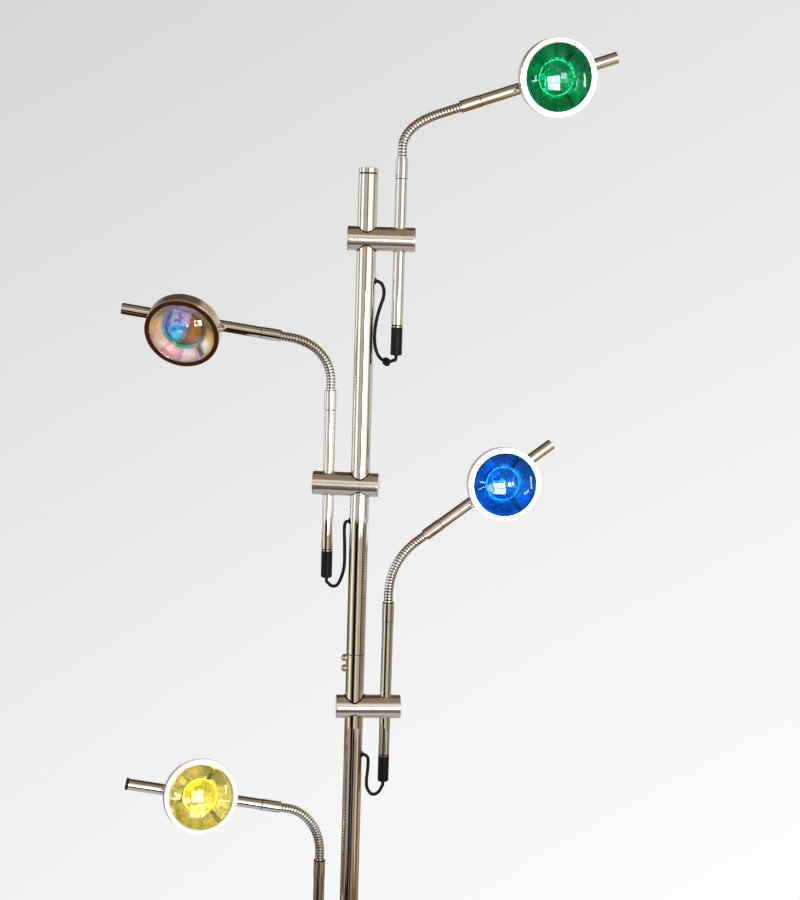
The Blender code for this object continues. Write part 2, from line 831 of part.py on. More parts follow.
def make_arm(arm, stand, finish):
    direction = arm.swing if arm.side > 0 else math.pi - arm.swing
    reach = arm.reach_turn if arm.side > 0 else math.pi - arm.reach_turn
    swivel = empty(f"swivel_{arm.number}", stand, (0, 0, arm.clamp_height), (0, 0, direction))
    turn = empty(f"turn_{arm.number}", swivel, (ARM_SPACING, 0, 0), (0, 0, reach - direction))
    pivot = neck_pivot(arm)
    bend = empty(f"bend_{arm.number}", turn, (pivot.x, 0, pivot.y))

    make_clamp(arm, swivel, finish)
    make_arm_tube(arm, turn, finish)
    make_gooseneck(arm, turn, finish)

    along = Vector((math.cos(arm.elevation), math.sin(arm.elevation)))
    neck_end = neck_path(arm)[-1][0]
    ferrule_foot = neck_end - along * (FERRULE_SOCKET_DEPTH - GAP) - pivot
    seam = ferrule_foot + along * FERRULE_LENGTH
    make_upper_ferrule(arm, bend, (ferrule_foot.x, 0, ferrule_foot.y), finish)
    roll = empty(f"roll_{arm.number}", bend, (seam.x, 0, seam.y), (0, -arm.elevation, 0))
    make_rod(arm, roll, finish)

    along_rod = ROD_LENGTH - HEAD_FROM_FERRULE if arm.flipped else HEAD_FROM_FERRULE
    face_turn = arm.side * (math.pi / 2 - arm.tilt)
    forward = Matrix.Rotation(face_turn, 3, "X") @ Vector((0, 0, ROD_BEHIND_FACE))
    head = empty(f"head_{arm.number}", roll, (along_rod, forward.y, forward.z), (face_turn, 0, 0))
    rod_hole = cutter(
        f"head_rod_hole_{arm.number}",
        ROD_RADIUS + GAP,
        along_rod - HEAD_RADIUS,
        along_rod + HEAD_RADIUS,
        TUBE_SIDES,
        roll,
        rotation=(0, math.pi / 2, 0),
    )
    glass = principled(f"coloured_glass_{arm.number}", arm.colour, GLASS_ROUGHNESS, 0.0, GLASS_TRANSMISSION)
    make_head(arm, head, rod_hole, finish, glass)
    make_lead(arm, stand, finish)


def main():
    clear_scene()
    finish = {name: principled(name, *values) for name, values in FINISHES.items()}
    stand = empty("stand")
    make_base(stand, finish)
    pole_lower, joiner = make_pole(stand, finish)
    make_knobs(stand, finish, pole_lower, joiner)
    for arm in ARMS:
        make_arm(arm, stand, finish)


main()
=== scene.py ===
"""Looks of a floor lamp with four spot heads on one polished pole.

Every turned piece is modelled once about its own Z, as on a lathe, and copied to each arm. Its points
keep their place on the lathe in the attribute "turned", which the metal's grain follows.
"""

import json
import math

import bpy
from mathutils import Matrix, Vector


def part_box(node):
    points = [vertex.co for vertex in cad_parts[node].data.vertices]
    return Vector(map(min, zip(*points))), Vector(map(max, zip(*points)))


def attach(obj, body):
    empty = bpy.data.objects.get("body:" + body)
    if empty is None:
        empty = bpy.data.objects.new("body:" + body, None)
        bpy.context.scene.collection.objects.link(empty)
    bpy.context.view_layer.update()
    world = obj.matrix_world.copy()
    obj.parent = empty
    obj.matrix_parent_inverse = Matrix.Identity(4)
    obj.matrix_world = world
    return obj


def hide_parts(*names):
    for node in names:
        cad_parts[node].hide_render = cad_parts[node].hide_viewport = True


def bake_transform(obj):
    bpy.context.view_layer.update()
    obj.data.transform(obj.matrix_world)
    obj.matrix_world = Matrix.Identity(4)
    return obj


MM = 0.001
DEGREE = math.pi / 180.0
QUARTER = math.pi / 2

# The photograph's camera
IMAGE_HEIGHT = 900
FOCAL_PIXELS = 1268
SENSOR = 36.0
CAMERA_PLACE = (0.0506, -1.6336, 1.5766)
CAMERA_PITCH = 8.17 * DEGREE
CAMERA_ROLL = 1.81 * DEGREE

# Sides of the turned pieces, and steps of their arcs
BASE_SIDES = 160
POLE_SIDES = 96
TUBE_SIDES = 72
HEAD_SIDES = 128
NECK_SIDES = 40
KNOB_SIDES = 48
SMALL_SIDES = 32
EDGE_SEGMENTS = 3
FINE_SEGMENTS = 2
CLAMP_RINGS = 36
BASE_EDGE_STEPS = 10
KNOB_STEPS = 14
LENS_STEPS = 16
BOWL_STEPS = 10
ROLL_STEPS = 8
SMALL_STEPS = 6
CURVE_STEPS = 12
KNOT_STEPS = 60
LEAD_RESOLUTION = 5
KNOT_RESOLUTION = 4
CLIP_CUTS = 3

# Angles past which an edge is rounded, or stays sharp in the shading
ROUNDED_ANGLE = 35.0 * DEGREE
STEP_ANGLE = 25.0 * DEGREE
SHARP_ANGLE = 40.0 * DEGREE
DOME_ANGLE = 50.0 * DEGREE
CORD_ANGLE = 60.0 * DEGREE

# Stand
BASE_RADIUS = 150.0 * MM
BASE_HEIGHT = 24.0 * MM
BASE_EDGE_RADIUS = 6.0 * MM
BASE_WALL = 1.5 * MM
BASE_LIFT = 1.0 * MM
POLE_RADIUS = 12.5 * MM
POLE_WALL = 1.5 * MM
SEAM_EDGE = 0.35 * MM
POLE_EDGE = 0.6 * MM
CAP_SEAM = 1.1 * MM
CAP_NECK = 1.2 * MM
KNOB_RADIUS = 5.0 * MM
KNOB_NECK_RADIUS = 3.4 * MM
KNOB_OVERHANG = 1.2 * MM
KNOB_COLLAR = 0.6 * MM
SEAT_GAP = 0.3 * MM
# how far inside the outer face the painted shade of a seam starts, as a share of the rounded edge
SEAM_SHADE_SHARE = 0.1

# Clamp
CLAMP_RADIUS = 16.0 * MM
CLAMP_INNER_END = 24.5 * MM
CLAMP_OUTER_END = 20.0 * MM
ARM_SPACING = 41.7 * MM
CLAMP_EDGE = 0.7 * MM
POLE_BORE = 14.3 * MM
BUSH_RADIUS = 14.2 * MM
BUSH_BORE = 12.62 * MM
BUSH_SINK = 0.35 * MM
ARM_BORE = 7.9 * MM
ARM_BUSH_BORE = 7.55 * MM

# Arm
ARM_TUBE_RADIUS = 7.5 * MM
ARM_TUBE_WALL = 1.2 * MM
ARM_TUBE_LENGTH = 183.8 * MM
SPIGOT_RADIUS = ARM_TUBE_RADIUS - ARM_TUBE_WALL - SEAT_GAP
PLUG_RADIUS = 7.4 * MM
PLUG_LENGTH = 38.9 * MM
PLUG_GROOVE = 1.3 * MM
PLUG_GROOVE_DEPTH = 0.6 * MM
PLUG_RING = 1.1 * MM
PLUG_END_RADIUS = 1.8 * MM
PLUG_MOUTH = 2.3 * MM
FERRULE_RADIUS = 7.9 * MM
FERRULE_LENGTH = 25.5 * MM
FERRULE_SOCKET = 5.0 * MM
FERRULE_LIP = 1.0 * MM
EDGE = 0.35 * MM
FINE_EDGE = 0.5 * EDGE
NECK_RADIUS = 6.2 * MM
NECK_GROOVE = 0.8 * MM
NECK_BORE = 5.2 * MM
NECK_FREE_LENGTH = 107.8 * MM
NECK_LENGTH = NECK_FREE_LENGTH + 2.0 * (FERRULE_SOCKET - SEAT_GAP)
NECK_RIBS = 30
# one rib: shares of its pitch, and of the groove's depth
RIB_SHARES = ((0, 1), (0.17, 1), (0.22, 0.22), (0.33, 0), (0.84, 0), (0.95, 0.22), (1, 1))
# the share of the groove's depth past which its bottom is painted dark, as painted shade
GROOVE_SHADE_SHARE = 0.8
ROD_RADIUS = 7.5 * MM
ROD_LENGTH = 181.9 * MM
ROD_EDGE = 0.6 * MM
ROD_FOOT = 0.25 * MM
SPIGOT_GAP = 0.1 * MM
END_CAP_LENGTH = 3.2 * MM

# Head, measured back from its face
HEAD_RADIUS = 48.0 * MM
HEAD_WALL = 1.6 * MM
CAN_DEPTH = 18.5 * MM
BOSS_RADIUS = 25.0 * MM
HEAD_DEPTH = 52.0 * MM
HEAD_EDGE = 1.0 * MM
RING_SEAM = 0.3 * MM
RING_THICKNESS = 2.0 * MM
RING_EDGE = 0.5 * MM
LENS_VIEW_RADIUS = 41.0 * MM
LENS_THICKNESS = 2.4 * MM
LENS_RISE = 6.0 * MM
LENS_GAP = 0.3 * MM
LENS_RIM = LENS_VIEW_RADIUS - LENS_GAP
REFLECTOR_TOP = 5.6 * MM
LAMP_FACE_DEPTH = 15.0 * MM
LAMP_RADIUS = 22.5 * MM
LAMP_RIM = 0.9 * MM
LAMP_RIM_PROUD = 0.9 * MM
LAMP_GAP = 1.2 * MM
STEP_RADII = (36.5 * MM, 30.5 * MM)
STEP_DROP = 0.9 * MM
STEP_WIDTH = 0.4 * MM
BOWL_RADIUS = 20.6 * MM
BOWL_DEPTH = 10.5 * MM
BOWL_THROAT = 4.6 * MM
CAPSULE_RADIUS = 3.2 * MM
CAPSULE_LENGTH = 9.5 * MM
CLIP_WIDTH = 6.0 * MM
CLIP_THICKNESS = 0.9 * MM
CLIP_BOW = 3.2 * CLIP_THICKNESS
CLIP_TAPER = 0.25
CLIP_EDGE = 0.3 * MM
CLIP_ANGLES = (62.0 * DEGREE, 188.0 * DEGREE, -56.0 * DEGREE)
PIN_RADIUS = 1.6 * MM
PIN_LENGTH = 4.5 * MM
PIN_TIP_RADIUS = 0.72 * PIN_RADIUS
PIN_TIP_LENGTH = 2.6 * EDGE
PIN_DEPTH = 14.0 * MM
# which way along the rod each head's pin points, and how far it is turned from there
PIN_PLACES = {1: (-1, 0.0), 2: (-1, 12.0 * DEGREE), 3: (-1, 0.0), 4: (1, 0.0)}

# Leads
LEAD_RADIUS = 2.2 * MM
LEAD_HIDDEN_LENGTH = 46.0 * MM
LEAD_END_INSIDE = 4.0 * MM
LEAD_STRAIGHT_END = 1.0 * MM
GROMMET_RADIUS = 4.3 * MM
GROMMET_PROUD = 1.3 * MM
GROMMET_BORE = LEAD_RADIUS + 0.5 * SEAT_GAP
KNOT_RADIUS = 4.0 * MM
KNOT_CROSSING = 1.15 * LEAD_RADIUS
KNOT_WAY = Vector((1.0, 0.2, 0.1))
# the point of the first lead's route that the knot is tied at
KNOT_POINT = 1

# What differs from arm to arm: how high the rod rises, how the neck's bend lies nearer its foot, the
# drop of the lead's hole below the clamp, the lead's length and its free run, outwards from the pole's
# axis, towards the back, and up from the clamp's axis, in millimetres.
ARMS = {
    1: {
        "side": 1,
        "elevation": 19.3 * DEGREE,
        "bias": 2.49,
        "hole_drop": 52.4 * MM,
        "lead_length": 186.7 * MM,
        "route": (
            (38.2, -2.0, -153.0), (29.4, -5.0, -154.8), (21.0, -8.0, -149.6), (15.8, -9.2, -139.9),
            (13.6, -9.2, -127.0), (13.8, -8.5, -114.0), (15.8, -6.5, -99.6), (19.4, -5.0, -85.5),
            (23.2, -3.0, -73.5), (23.6, -1.5, -63.7), (20.2, -0.5, -55.6),
        ),
    },
    2: {
        "side": -1,
        "elevation": 8.0 * DEGREE,
        "bias": 1.19,
        "hole_drop": 48.8 * MM,
        "lead_length": 166.7 * MM,
        "route": (
            (39.6, 3.6, -133.0), (34.0, 3.0, -137.8), (26.8, 1.5, -135.5), (20.8, 0.0, -122.5),
            (18.0, -0.5, -106.5), (18.2, -0.5, -83.0), (19.2, 0.0, -60.5), (18.0, 0.0, -50.8),
        ),
    },
    3: {
        "side": 1,
        "elevation": 36.4 * DEGREE,
        "bias": 1.04,
        "hole_drop": 67.0 * MM,
        "lead_length": 140.5 * MM,
        "route": (
            (40.0, 2.8, -113.5), (35.4, 1.2, -121.0), (27.8, -1.0, -123.0), (21.2, -2.0, -115.5),
            (19.4, -2.0, -104.0), (20.8, -1.0, -84.0), (20.0, 0.0, -71.5),
        ),
    },
    4: {
        "side": -1,
        "elevation": 12.1 * DEGREE,
        "bias": 0.78,
        "hole_drop": 62.0 * MM,
        "lead_length": 195.3 * MM,
        "route": (
            (40.0, 0.5, -173.0), (35.2, 0.8, -178.6), (27.4, 0.3, -176.5), (21.0, -1.0, -162.0),
            (18.4, -1.0, -141.0), (18.2, -0.5, -113.0), (19.6, 0.0, -83.0), (19.2, 0.0, -66.5),
        ),
    },
}

# Colours and slots
LENS_COLOURS = {
    1: (0.015, 0.56, 0.31),
    2: (0.97, 0.97, 0.97),
    3: (0.01, 0.38, 0.97),
    4: (0.985, 0.93, 0.46),
}
LENS_SLOTS = {1: "green_glass", 2: "dichroic_glass", 3: "blue_glass", 4: "yellow_glass"}
# the looks of each head's reflector, lamp rim and lamp bowl
HEAD_LOOKS = {
    1: ("reflector", "rim", "facets"),
    # head 2's lamp rim is the dark clip steel, as painted shade where the rim's shadow falls
    2: ("rainbow_outer", "clip", "rainbow_inner"),
    3: ("reflector", "rim", "facets"),
    4: ("reflector", "rim", "yellow_lit_facets"),
}
HEAD_CLIPS = {1: CLIP_ANGLES, 2: CLIP_ANGLES[2:], 3: CLIP_ANGLES, 4: CLIP_ANGLES}
BRUSHED_LOOKS = ("base", "clamp", "wall")
# painted shade in the seams between parts and in the bottoms of the neck's grooves
SEAM_SHADE_COLOUR = (0.030, 0.020, 0.014)
MOULDED_BLACK = (0.004, 0.004, 0.004)
DUST_COLOUR = (0.012, 0.012, 0.012)
# Colours round head 2's reflector from its side away from the rod's free end, over the top, and back:
# in its outer band, in the band round the lamp, and in the lamp's bowl. They are painted reflection: the
# coating's colours as they show from in front, and the near-white stops are painted highlights.
OUTER_RAINBOW = (
    (0.00, (0.95, 0.58, 0.16)),
    (0.05, (0.34, 0.24, 0.15)),
    (0.16, (0.40, 0.29, 0.18)),
    (0.23, (0.70, 0.62, 0.74)),
    (0.28, (0.50, 0.44, 0.90)),
    (0.32, (0.32, 0.28, 0.76)),
    (0.37, (0.38, 0.31, 0.20)),
    (0.44, (0.60, 0.50, 0.30)),
    (0.47, (1.0, 0.66, 0.10)),
    (0.52, (1.0, 0.74, 0.40)),
    (0.57, (1.0, 0.64, 0.50)),
    (0.62, (1.0, 0.92, 0.84)),
    (0.66, (1.0, 0.34, 0.42)),
    (0.70, (1.0, 0.64, 0.66)),
    (0.74, (1.0, 0.28, 0.62)),
    (0.78, (0.94, 1.0, 0.98)),
    (0.82, (1.0, 0.52, 0.56)),
    (0.86, (0.56, 0.60, 0.76)),
    (0.90, (1.0, 0.98, 0.86)),
    (0.94, (1.0, 0.90, 0.66)),
    (0.97, (1.0, 0.64, 0.14)),
    (1.00, (0.95, 0.58, 0.16)),
)
BAND_RAINBOW = (
    (0.00, (0.24, 0.14, 0.07)),
    (0.12, (0.30, 0.18, 0.09)),
    (0.22, (0.42, 0.36, 0.42)),
    (0.30, (0.40, 0.36, 0.75)),
    (0.38, (0.12, 0.22, 0.80)),
    (0.46, (0.08, 0.30, 0.85)),
    (0.53, (0.01, 0.42, 0.80)),
    (0.59, (0.0, 0.55, 0.55)),
    (0.64, (0.02, 0.20, 0.16)),
    (0.70, (0.01, 0.32, 0.20)),
    (0.76, (0.03, 0.45, 0.28)),
    (0.82, (0.05, 0.42, 0.50)),
    (0.87, (0.35, 0.50, 0.60)),
    (0.93, (0.05, 0.10, 0.55)),
    (1.00, (0.24, 0.14, 0.07)),
)
INNER_RAINBOW = (
    (0.00, (0.50, 0.21, 0.03)),
    (0.20, (0.55, 0.25, 0.04)),
    (0.225, (0.40, 0.34, 0.75)),
    (0.36, (0.36, 0.34, 0.80)),
    (0.46, (0.06, 0.20, 0.85)),
    (0.56, (0.01, 0.30, 0.80)),
    (0.65, (0.0, 0.38, 0.45)),
    (0.72, (0.16, 0.10, 0.05)),
    (0.85, (0.42, 0.17, 0.02)),
    (1.00, (0.50, 0.21, 0.03)),
)
BAND_FADE = 2.0 * MM

# The room round the lamp, that only metal and glass see. Its walls stand as far off as its floor goes.
# Bearings are from straight in front, towards the lamp's right, in degrees; the rest is in metres.
ROOM_REACH = 6.3
ROOM_HEIGHT = 3.4
# first and last bearing, colour and strength
WALLS = {
    "back_room_left": (-156, -126, (0.30, 0.22, 0.17), 1.0),
    "door_left": (-126, -98, (1.0, 0.97, 0.93), 1.1),
    "shelf_left": (-98, -76, (0.34, 0.28, 0.24), 1.0),
    "window_left": (-76, -47, (0.90, 0.97, 1.0), 1.25),
    "frame_left": (-47, -36, (0.42, 0.30, 0.21), 1.0),
    "wall_front": (-36, -8, (0.52, 0.49, 0.38), 1.0),
    "plant_front": (-8, 1, (0.26, 0.30, 0.19), 1.0),
    "frame_right": (1, 9, (0.26, 0.12, 0.06), 1.0),
    "wall_right": (9, 60, (1.0, 0.98, 0.94), 1.25),
    "curtain_right": (60, 72, (0.70, 0.67, 0.48), 1.0),
    "shelf_right": (72, 90, (0.30, 0.22, 0.13), 1.0),
    "hall_right": (90, 126, (0.55, 0.60, 0.62), 1.0),
    "back_room_right": (126, 156, (0.56, 0.54, 0.46), 1.0),
}
NEAR_FLOOR = 1.2
FAR_FLOOR = 2.6
# first and last bearing, and the colours of the floor's nearer and farther ring
FLOORS = {
    "boards_left": (-156, -100, (0.29, 0.28, 0.20), (0.15, 0.11, 0.08)),
    "shelf_foot_left": (-100, -79, (0.12, 0.09, 0.07), (0.50, 0.42, 0.29)),
    "step_left": (-79, -62, (0.22, 0.14, 0.11), (1.15, 1.13, 1.10)),
    "rug_left": (-62, -46, (0.50, 0.35, 0.30), (0.60, 0.46, 0.28)),
    "rug_edge_left": (-46, -34, (0.44, 0.30, 0.26), (0.10, 0.08, 0.05)),
    "case_front": (-34, -10, (0.006, 0.006, 0.006), (0.004, 0.005, 0.004)),
    "glare_front": (-10, -2, (0.18, 0.20, 0.20), (0.10, 0.08, 0.07)),
    "table_front": (-2, 14, (0.006, 0.007, 0.009), (0.80, 0.68, 0.54)),
    "boards_front": (14, 50, (0.31, 0.25, 0.17), (0.50, 0.44, 0.33)),
    "glare_right": (50, 66, (0.80, 0.68, 0.54), (0.12, 0.055, 0.022)),
    "boards_right": (66, 96, (0.16, 0.09, 0.04), (0.27, 0.19, 0.10)),
    "boards_far_right": (96, 156, (0.50, 0.34, 0.18), (0.32, 0.34, 0.33)),
}
# left, right, front and back edges, and colour, of what lies by the lamp's foot and of the ceiling
NEAR_FLOORS = {
    "paper_sheet": (-0.55, 0.55, -0.95, 1.6, (0.50, 0.49, 0.49)),
    "apron_front": (-0.55, 0.55, -1.2, -0.95, (0.060, 0.022, 0.010)),
    "apron_left": (-1.2, -0.55, -1.2, 2.0, (0.065, 0.016, 0.005)),
    "apron_right": (0.55, 1.3, -1.2, 2.0, (0.22, 0.12, 0.05)),
}
CEILINGS = {
    "ceiling_far": (-6.3, 6.3, -6.3, -2.6, (0.80, 0.74, 0.66)),
    "ceiling_near": (-6.3, 6.3, -2.6, 0.1, (0.27, 0.195, 0.125)),
    "ceiling_back_left": (-6.3, 0.8, 0.1, 4.4, (0.055, 0.034, 0.022)),
    "ceiling_back_right": (0.8, 6.3, 0.1, 4.4, (0.40, 0.32, 0.23)),
}
# left and right edge, low and high edge, distance in front, colour and strength
PANES = {
    "pane_one": (0.61, 1.08, 0.10, 1.45, 5.2, (1.0, 1.0, 1.0), 8.0),
    "pane_two": (1.15, 1.62, 0.10, 1.45, 5.2, (1.0, 1.0, 1.0), 8.0),
    "pane_three": (1.69, 2.16, 0.10, 1.45, 5.2, (1.0, 1.0, 1.0), 8.0),
    "pane_small": (1.96, 2.66, 0.95, 1.65, 4.6, (0.90, 0.88, 1.0), 4.0),
}
FLOOR_DEPTH = 1.0 * MM
NEAR_FLOOR_HEIGHT = 0.5 * MM
# How much of the room the front of a lens gives back.
GLASS_SHARE = 0.15
# How much brighter the room lights the reflectors behind the lenses.
BEHIND_GLASS = 2.0

# Lights that only the front of a lens gives back. Each is set by where the photograph shows it on the
# lens: the lens's number, its high left, high right, low right and low left corner, in millimetres
# right of and above the lens's middle, the columns and rows of its panes, its colour and its strength.
GLINTS = {
    "green_window": (
        1, ((-16.5, 0.5), (0.5, 3.0), (1.5, -16.0), (-13.5, -15.0)), (3, 2), (1.0, 1.0, 1.0), 24.0,
    ),
    "green_small": (
        1, ((1.0, 6.0), (7.5, 6.0), (8.0, -2.0), (1.5, -2.0)), (2, 2), (0.85, 0.95, 1.0), 13.0,
    ),
    "green_arc": (
        1, ((30.0, 6.0), (32.0, 6.0), (34.5, -10.0), (31.5, -10.0)), (1, 1), (0.95, 1.0, 1.0), 18.0,
    ),
    "green_star": (
        1, ((-31.0, 0.0), (-28.5, 1.5), (-29.0, -5.5), (-31.0, -4.5)), (1, 1), (0.60, 0.90, 1.0), 14.0,
    ),
    "blue_window": (
        3, ((-17.0, 3.0), (-1.0, 4.0), (0.0, -12.5), (-14.5, -11.5)), (3, 2), (1.0, 1.0, 1.0), 24.0,
    ),
    "blue_small": (
        3, ((2.5, 4.5), (11.0, 4.5), (11.0, -2.0), (2.5, -2.0)), (2, 1), (0.95, 0.95, 1.0), 22.0,
    ),
    "blue_left": (
        3, ((-25.5, -1.0), (-18.5, 1.5), (-16.5, -9.0), (-23.0, -8.0)), (1, 1), (0.75, 0.88, 1.0), 13.0,
    ),
    "blue_arc": (
        3, ((32.5, 11.5), (34.5, 11.5), (36.0, -4.5), (34.0, -4.5)), (1, 1), (0.80, 0.92, 1.0), 18.0,
    ),
    "yellow_window": (
        4, ((-14.0, 8.5), (2.0, 7.5), (2.5, -7.0), (-13.5, -6.0)), (2, 2), (1.0, 1.0, 0.90), 20.0,
    ),
    "yellow_left": (
        4, ((-26.0, 1.5), (-14.5, 2.5), (-14.5, -7.0), (-24.5, -6.0)), (2, 1), (1.0, 0.98, 0.85), 14.0,
    ),
    "yellow_arc": (
        4, ((30.5, 13.0), (33.0, 12.5), (33.5, 1.0), (31.5, 1.5)), (1, 1), (1.0, 1.0, 1.0), 18.0,
    ),
    "green_star_low": (
        1, ((-34.0, -5.5), (-27.0, -3.5), (-27.5, -5.5), (-33.5, -7.5)), (1, 1), (0.60, 0.95, 1.0), 20.0,
    ),
    "green_streak": (
        1, ((22.0, -1.0), (23.5, 0.5), (22.5, -14.0), (20.5, -14.0)), (1, 1), (0.80, 1.0, 0.95), 9.0,
    ),
    "blue_star_high": (
        3, ((-33.5, 5.0), (-26.5, 3.0), (-26.5, 1.5), (-33.0, 2.5)), (1, 1), (0.80, 0.92, 1.0), 18.0,
    ),
    "blue_star_low": (
        3, ((-36.5, -7.0), (-26.0, -1.0), (-25.5, -2.5), (-35.5, -8.0)), (1, 1), (0.80, 0.92, 1.0), 18.0,
    ),
    "blue_streak": (
        3, ((24.0, -10.0), (31.0, -5.5), (32.0, -8.0), (26.0, -13.5)), (1, 1), (0.85, 0.95, 1.0), 11.0,
    ),
    "yellow_star_high": (
        4, ((-35.5, 9.0), (-27.0, 6.0), (-27.0, 2.5), (-34.5, 4.5)), (1, 1), (1.0, 1.0, 0.90), 15.0,
    ),
    "yellow_star_low": (
        4, ((-39.0, 2.0), (-26.5, 2.0), (-28.0, -1.0), (-35.5, -2.0)), (1, 1), (1.0, 1.0, 0.85), 12.0,
    ),
    "yellow_streak": (
        4, ((22.5, -4.5), (38.5, -8.0), (38.5, -9.5), (23.5, -7.5)), (1, 1), (1.0, 1.0, 0.90), 10.0,
    ),
    "clear_square": (
        2, ((19.0, 22.5), (28.5, 23.0), (28.5, 13.5), (18.5, 13.5)), (2, 1), (1.0, 1.0, 1.0), 26.0,
    ),
    "clear_violet": (
        2, ((-6.0, 36.5), (16.5, 31.5), (12.0, 15.0), (-12.5, 15.5)), (1, 1), (0.62, 0.58, 0.86), 9.0,
    ),
    "clear_blue": (
        2, ((-12.5, 15.5), (12.0, 15.0), (5.0, -2.5), (-17.5, -1.5)), (1, 1), (0.12, 0.36, 0.90), 8.0,
    ),
}
# How far in front of the lens such a light stands, and how near a lens has to be to see it.
GLINT_DISTANCE = 0.30
GLINT_REACH = 0.42
# The share of a pane that the window's bars take on each side
WINDOW_BAR = 0.05

# Floor, backdrop and light
FLOOR_SIDES = 96
FLOOR_RADIUS = 1.35
FLOOR_FADE_START = 0.45
FLOOR_COLOUR = (0.80, 0.80, 0.80)
BACKDROP_DIM = (0.665, 0.665, 0.670)
BACKDROP_BRIGHT = (0.985, 0.985, 0.990)
BACKDROP_WAY = (0.60, 0.0, -1.0)
BACKDROP_DIM_AT = -0.42
BACKDROP_BRIGHT_AT = 0.62
AMBIENT = (0.80, 0.81, 0.83)
AMBIENT_STRENGTH = 0.85
# place, size and power
LAMPS = {
    "key_light": ((1.6, -2.0, 2.7), 1.4, 38.0),
    "fill_light": ((-2.0, -1.6, 2.0), 1.6, 24.0),
    "back_light": ((-0.4, 2.2, 2.6), 1.6, 12.0),
}
LAMPS_AIM = Vector((0, 0, 1.1))


# Helpers


def up_by(height):
    return Vector((0, 0, height))


def deselect():
    for obj in bpy.context.selected_objects:
        obj.select_set(False)


def select_only(obj):
    deselect()
    obj.select_set(True)
    bpy.context.view_layer.objects.active = obj


def apply_modifier(obj, kind, **values):
    """Adds a modifier with these values and applies it at once."""
    modifier = obj.modifiers.new(kind.lower(), kind)
    for name, value in values.items():
        setattr(modifier, name, value)
    select_only(obj)
    bpy.ops.object.modifier_apply(modifier=modifier.name)


def cut_with(obj, tool, operation):
    """Cuts a piece with another, which is used up."""
    apply_modifier(obj, "BOOLEAN", operation=operation, object=tool, solver="EXACT")
    bpy.data.objects.remove(tool)


def lathe(name, profile, sides, ring_section=False):
    """Turns (radius, height) points about Z, ring after ring. A point at radius 0 closes its end."""
    rings = [point for point in profile if point[0] > 0]
    deselect()
    radius, height = rings[0]
    bpy.ops.mesh.primitive_circle_add(vertices=sides, radius=radius, location=(0, 0, height))
    obj = bpy.context.object
    obj.name = name
    obj.data.name = name
    bpy.ops.object.transform_apply(location=True, rotation=False, scale=False)
    bpy.ops.object.mode_set(mode="EDIT")
    bpy.ops.mesh.select_mode(type="VERT")
    bpy.ops.mesh.select_all(action="SELECT")
    for (before, low), (after, high) in zip(rings, rings[1:]):
        extrude_up(high - low)
        if not math.isclose(after, before):
            scale = after / before
            bpy.ops.transform.resize(value=(scale, scale, 1.0), center_override=(0, 0, high))
    if ring_section:
        bpy.ops.mesh.select_all(action="DESELECT")
        bpy.ops.mesh.select_non_manifold()
        bpy.ops.mesh.bridge_edge_loops()
    elif profile[-1][0] == 0:
        extrude_up(profile[-1][1] - rings[-1][1])
        bpy.ops.mesh.merge(type="CENTER")
    if not ring_section and profile[0][0] == 0:
        bpy.ops.mesh.select_all(action="DESELECT")
        bpy.ops.mesh.select_non_manifold()
        extrude_up(profile[0][1] - rings[0][1])
        bpy.ops.mesh.merge(type="CENTER")
    bpy.ops.mesh.select_all(action="SELECT")
    bpy.ops.mesh.normals_make_consistent(inside=False)
    bpy.ops.object.mode_set(mode="OBJECT")
    return obj


def extrude_up(rise):
    bpy.ops.mesh.extrude_region_move(TRANSFORM_OT_translate={"value": (0, 0, rise)})


def rounded(name, profile, sides, edge, segments=EDGE_SEGMENTS, ring_section=False):
    """A turned piece with rounded edges."""
    obj = lathe(name, profile, sides, ring_section)
    soften(obj, edge, segments)
    return obj


def smoothed(name, profile, sides, angle=SHARP_ANGLE, ring_section=False):
    """A turned piece with no edge to round."""
    obj = lathe(name, profile, sides, ring_section)
    smooth(obj, angle)
    return obj


def soften(obj, width, segments=EDGE_SEGMENTS):
    """Rounds the sharp edges and shades the piece smooth."""
    apply_modifier(
        obj,
        "BEVEL",
        width=width,
        segments=segments,
        limit_method="ANGLE",
        angle_limit=ROUNDED_ANGLE,
        use_clamp_overlap=True,
    )
    smooth(obj, level_faces=True)


def smooth(obj, angle=SHARP_ANGLE, level_faces=False):
    """Shades smooth. With level_faces, the large faces keep their own direction up to rounded edges."""
    select_only(obj)
    bpy.ops.object.shade_smooth_by_angle(angle=angle)
    if level_faces:
        apply_modifier(obj, "WEIGHTED_NORMAL", mode="FACE_AREA", weight=100, keep_sharp=True)


def keep_on_points(obj, name, kind, value_at):
    """Stores a value at every point of a piece, for its material to read."""
    attribute = obj.data.attributes.new(name, kind, "POINT")
    field = "vector" if kind == "FLOAT_VECTOR" else "value"
    for item, vertex in zip(attribute.data, obj.data.vertices):
        setattr(item, field, value_at(vertex.co))


def keep_turned_place(obj):
    """Stores where each point lies on the lathe, for the grain to follow."""
    keep_on_points(obj, "turned", "FLOAT_VECTOR", lambda point: point)


def paint_seam_shade(obj, radius, below=math.inf):
    """Stores 1 at the points inside this radius and below this height, where shade is painted."""
    keep_on_points(
        obj, "seam", "FLOAT", lambda point: float(point.xy.length < radius and point.z < below)
    )


def arc(centre_radius, centre_height, radius, start, end, steps):
    """Profile points along an arc, angles from the outward direction."""
    turns = [start + (end - start) * step / steps for step in range(steps + 1)]
    return [
        (centre_radius + radius * math.cos(turn), centre_height + radius * math.sin(turn))
        for turn in turns
    ]


def ball_radius(rim_radius, rise):
    """The radius of the ball that a shallow dome is cut from."""
    return (rim_radius**2 + rise**2) / (2.0 * rise)


def dome(rim_radius, rim_height, rise, steps):
    """Profile points of a shallow dome, from its rim to the axis."""
    ball = ball_radius(rim_radius, rise)
    points = []
    for step in range(steps + 1):
        radius = rim_radius * (1.0 - step / steps)
        drop = ball - math.sqrt(ball**2 - radius**2)
        points.append((radius, rim_height + rise - drop))
    return points


